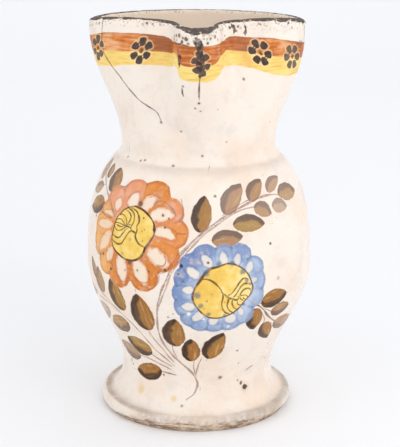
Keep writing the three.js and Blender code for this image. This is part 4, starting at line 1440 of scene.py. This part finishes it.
def paint_wear(colour, rim, foot, bare):
    """Bare dark clay at the rim and the foot's edge, and the unglazed underside."""
    rough_edge = grain(4, 4, 0.65, 41.0)
    fine_edge = grain(1.8, 3, 0.6, 43.0)
    torn = (rough_edge - 0.5) * 0.7
    rim_near = rim + torn
    rim_wear = step(rim_near, 1.08, 0.94)
    clay = mix(step(fine_edge, 0.5, 0.72), WORN_DARK, WORN_LIGHT)
    clay = mix(step(rough_edge, 0.56, 0.66) * step(rim_near, 0.3, 0.8), clay, WORN_PALE)
    flecks = step(rim_near, 3.6, 1.8) * step(fine_edge, 0.54, 0.64)
    colour = mix(flecks * 0.6, colour, FLECK_BROWN)
    colour = mix(rim_wear * 0.94, colour, clay)
    foot_near = foot + torn * 0.6
    foot_wear = step(foot_near, 1.06, 0.96)
    stain = step(foot_near, 2.2, 1.0) * step(rough_edge, 0.38, 0.62)
    colour = mix(stain * 0.45, colour, FOOT_STAIN)
    streaky = grain(2.6, 3, 0.6, 45.0, at=stretched(0.3, 0.3, 1.3)) * 0.75 + fine_edge * 0.25
    clay = mix(step(streaky, 0.38, 0.56), BISCUIT_DARK, BISCUIT)
    clay = mix(step(foot_near, 0.84, 0.98) * 0.35, clay, FOOT_DARK)
    clay = mix(step(streaky, 0.54, 0.62) * 0.7, clay, FOOT_PALE)
    colour = mix(foot_wear, colour, clay)
    colour = mix(bare, colour, mix(grain(6, 4, 0.6, 51.0), UNDER_DARK, UNDER_PALE))
    return colour, biggest(biggest(rim_wear, foot_wear), bare)


def finish_glaze():
    """The glaze with its clouds and pores, the painting on it, and the wear over both."""
    rim, foot, region = painted("wear")
    warmth = step(grain(34, 4, 0.6, 1.0), 0.42, 0.68) * (0.35 + step(numbers(place)[2], 225.0, 180.0) * 0.65)
    colour = mix(warmth, GLAZE, GLAZE_WARM)
    colour = mix(step(grain(11, 4, 0.6, 21.0), 0.5, 0.75) * 0.6, colour, GLAZE_GREY)
    colour = mix(step(grain(24, 3, 0.6, 27.0), 0.52, 0.72) * 0.4, colour, GLAZE_STAIN)
    pores = step(grain(1.3, 2, 0.5, 31.0), 0.74, 0.8)
    colour = mix(pores * 0.5, colour, PORE)
    inside = step(region, 0.5, 0.9) * step(region, 1.9, 1.5)
    colour = mix(inside * 0.85, colour, GLAZE_INSIDE)
    colour = paint_rosettes(paint_band(paint_dirt_and_shade(colour)))
    colour, flowers = paint_flowers(colour)
    colour = paint_specks(paint_lines(paint_leaves(colour, flowers), flowers))
    colour, worn = paint_wear(colour, rim, foot, step(region, 1.5, 1.9))

    skin = grain(2.4, 3, 0.5, 71.0)
    grit = grain(0.9, 3, 0.7, 73.0) * worn
    relief = skin * 0.25 + pores * -1.0 + grit * 2.5
    shader = tree.nodes.new("ShaderNodeBsdfPrincipled")
    shader.inputs["Specular IOR Level"].default_value = GLAZE_SPECULAR
    feed(shader.inputs["Base Color"], colour)
    feed(shader.inputs["Roughness"], 0.2 + grain(16, 3, 0.5, 61.0) * 0.16 + worn * 0.45)
    bump = {"Height": relief, "Strength": BUMP_STRENGTH, "Distance": BUMP_DEPTH}
    feed(shader.inputs["Normal"], node("ShaderNodeBump", bump))
    output = tree.nodes.new("ShaderNodeOutputMaterial")
    tree.links.new(shader.outputs[0], output.inputs[0])


# The paper sweep behind and under the jug, in metres
SWEEP_WIDTH = 6.0
SWEEP_FRONT = -3.0
SWEEP_BACK = 2.4
SWEEP_BEND = 0.8
SWEEP_TOP = 3.2
PAPER = (0.93, 0.935, 0.95, 1)
SURROUND = (0.97, 0.98, 1.0, 1)
SURROUND_STRENGTH = 0.95

# Soft round lamps: place and target in metres, size in metres and power in watts
LAMPS = [
    ("key", (0.75, -0.95, 0.95), (0, 0, 0.15), 0.9, 2.9),
    ("fill", (-1.1, -0.7, 0.7), (0, 0, 0.13), 1.0, 1.4),
    ("side", (1.3, 0.1, 0.5), (0, 0, 0.12), 1.0, 1.5),
    ("front", (0.1, -1.6, 0.6), (0, 0, 0.12), 1.2, 0.65),
    ("back", (0.0, 1.2, 1.3), (0, 2.2, 0.6), 1.4, 1.2),
]


def studio():
    """A pale sweep behind and under the jug, soft lamps, and a bright surround."""
    scene = bpy.context.scene
    scene.view_settings.view_transform = "Standard"
    start = SWEEP_BACK - SWEEP_BEND
    profile = [(SWEEP_FRONT, 0.0), (start, 0.0)]
    for angle in arc(0, 90, 12)[1:]:
        profile.append((start + SWEEP_BEND * math.sin(angle), SWEEP_BEND - SWEEP_BEND * math.cos(angle)))
    profile.append((SWEEP_BACK, SWEEP_TOP))
    points = [(x, y, z) for y, z in profile for x in (-SWEEP_WIDTH / 2, SWEEP_WIDTH / 2)]
    faces = [(2 * k, 2 * k + 1, 2 * k + 3, 2 * k + 2) for k in range(len(profile) - 1)]
    mesh = bpy.data.meshes.new("sweep")
    mesh.from_pydata(points, [], faces)
    mesh.shade_smooth()
    paper = bpy.data.materials.new("paper")
    paper.use_nodes = True
    shader = paper.node_tree.nodes["Principled BSDF"]
    shader.inputs["Base Color"].default_value = PAPER
    shader.inputs["Roughness"].default_value = 0.9
    shader.inputs["Specular IOR Level"].default_value = 0.1
    mesh.materials.append(paper)
    linked("sweep", mesh)

    world = bpy.data.worlds.new("surround")
    world.use_nodes = True
    background = world.node_tree.nodes["Background"]
    background.inputs["Color"].default_value = SURROUND
    background.inputs["Strength"].default_value = SURROUND_STRENGTH
    scene.world = world

    for name, stand, target, size, power in LAMPS:
        data = bpy.data.lights.new(name, "AREA")
        data.shape = "DISK"
        data.size = size
        data.energy = power
        light = linked(name, data)
        light.location = stand
        light.rotation_euler = (Vector(target) - Vector(stand)).to_track_quat("-Z", "Y").to_euler()


# The photograph's frame in pixels, and the camera read from it
FRAME_HEIGHT_PX = 447
FOCAL_PX = 1214
CENTRE_OFF_PX = 1.58
SENSOR = 36.0
CAMERA_DISTANCE = 0.816
CAMERA_HEIGHT = 0.3464
CAMERA_PITCH = 14.95
CAMERA_ROLL = 0.33


def camera():
    data = bpy.data.cameras.new("camera")
    data.sensor_width = SENSOR
    data.lens = FOCAL_PX * SENSOR / FRAME_HEIGHT_PX
    data.shift_x = CENTRE_OFF_PX / FRAME_HEIGHT_PX
    eye = linked("camera", data)
    tilt = Matrix.Rotation(math.radians(90 - CAMERA_PITCH), 4, "X")
    roll = Matrix.Rotation(math.radians(CAMERA_ROLL), 4, "Z")
    eye.matrix_world = Matrix.Translation((0, -CAMERA_DISTANCE, CAMERA_HEIGHT)) @ tilt @ roll
    bpy.context.scene.camera = eye


jug = build_jug()
finish_glaze()
jug.data.materials.append(majolica)
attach(jug, "root")
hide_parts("jug")

studio()
camera()
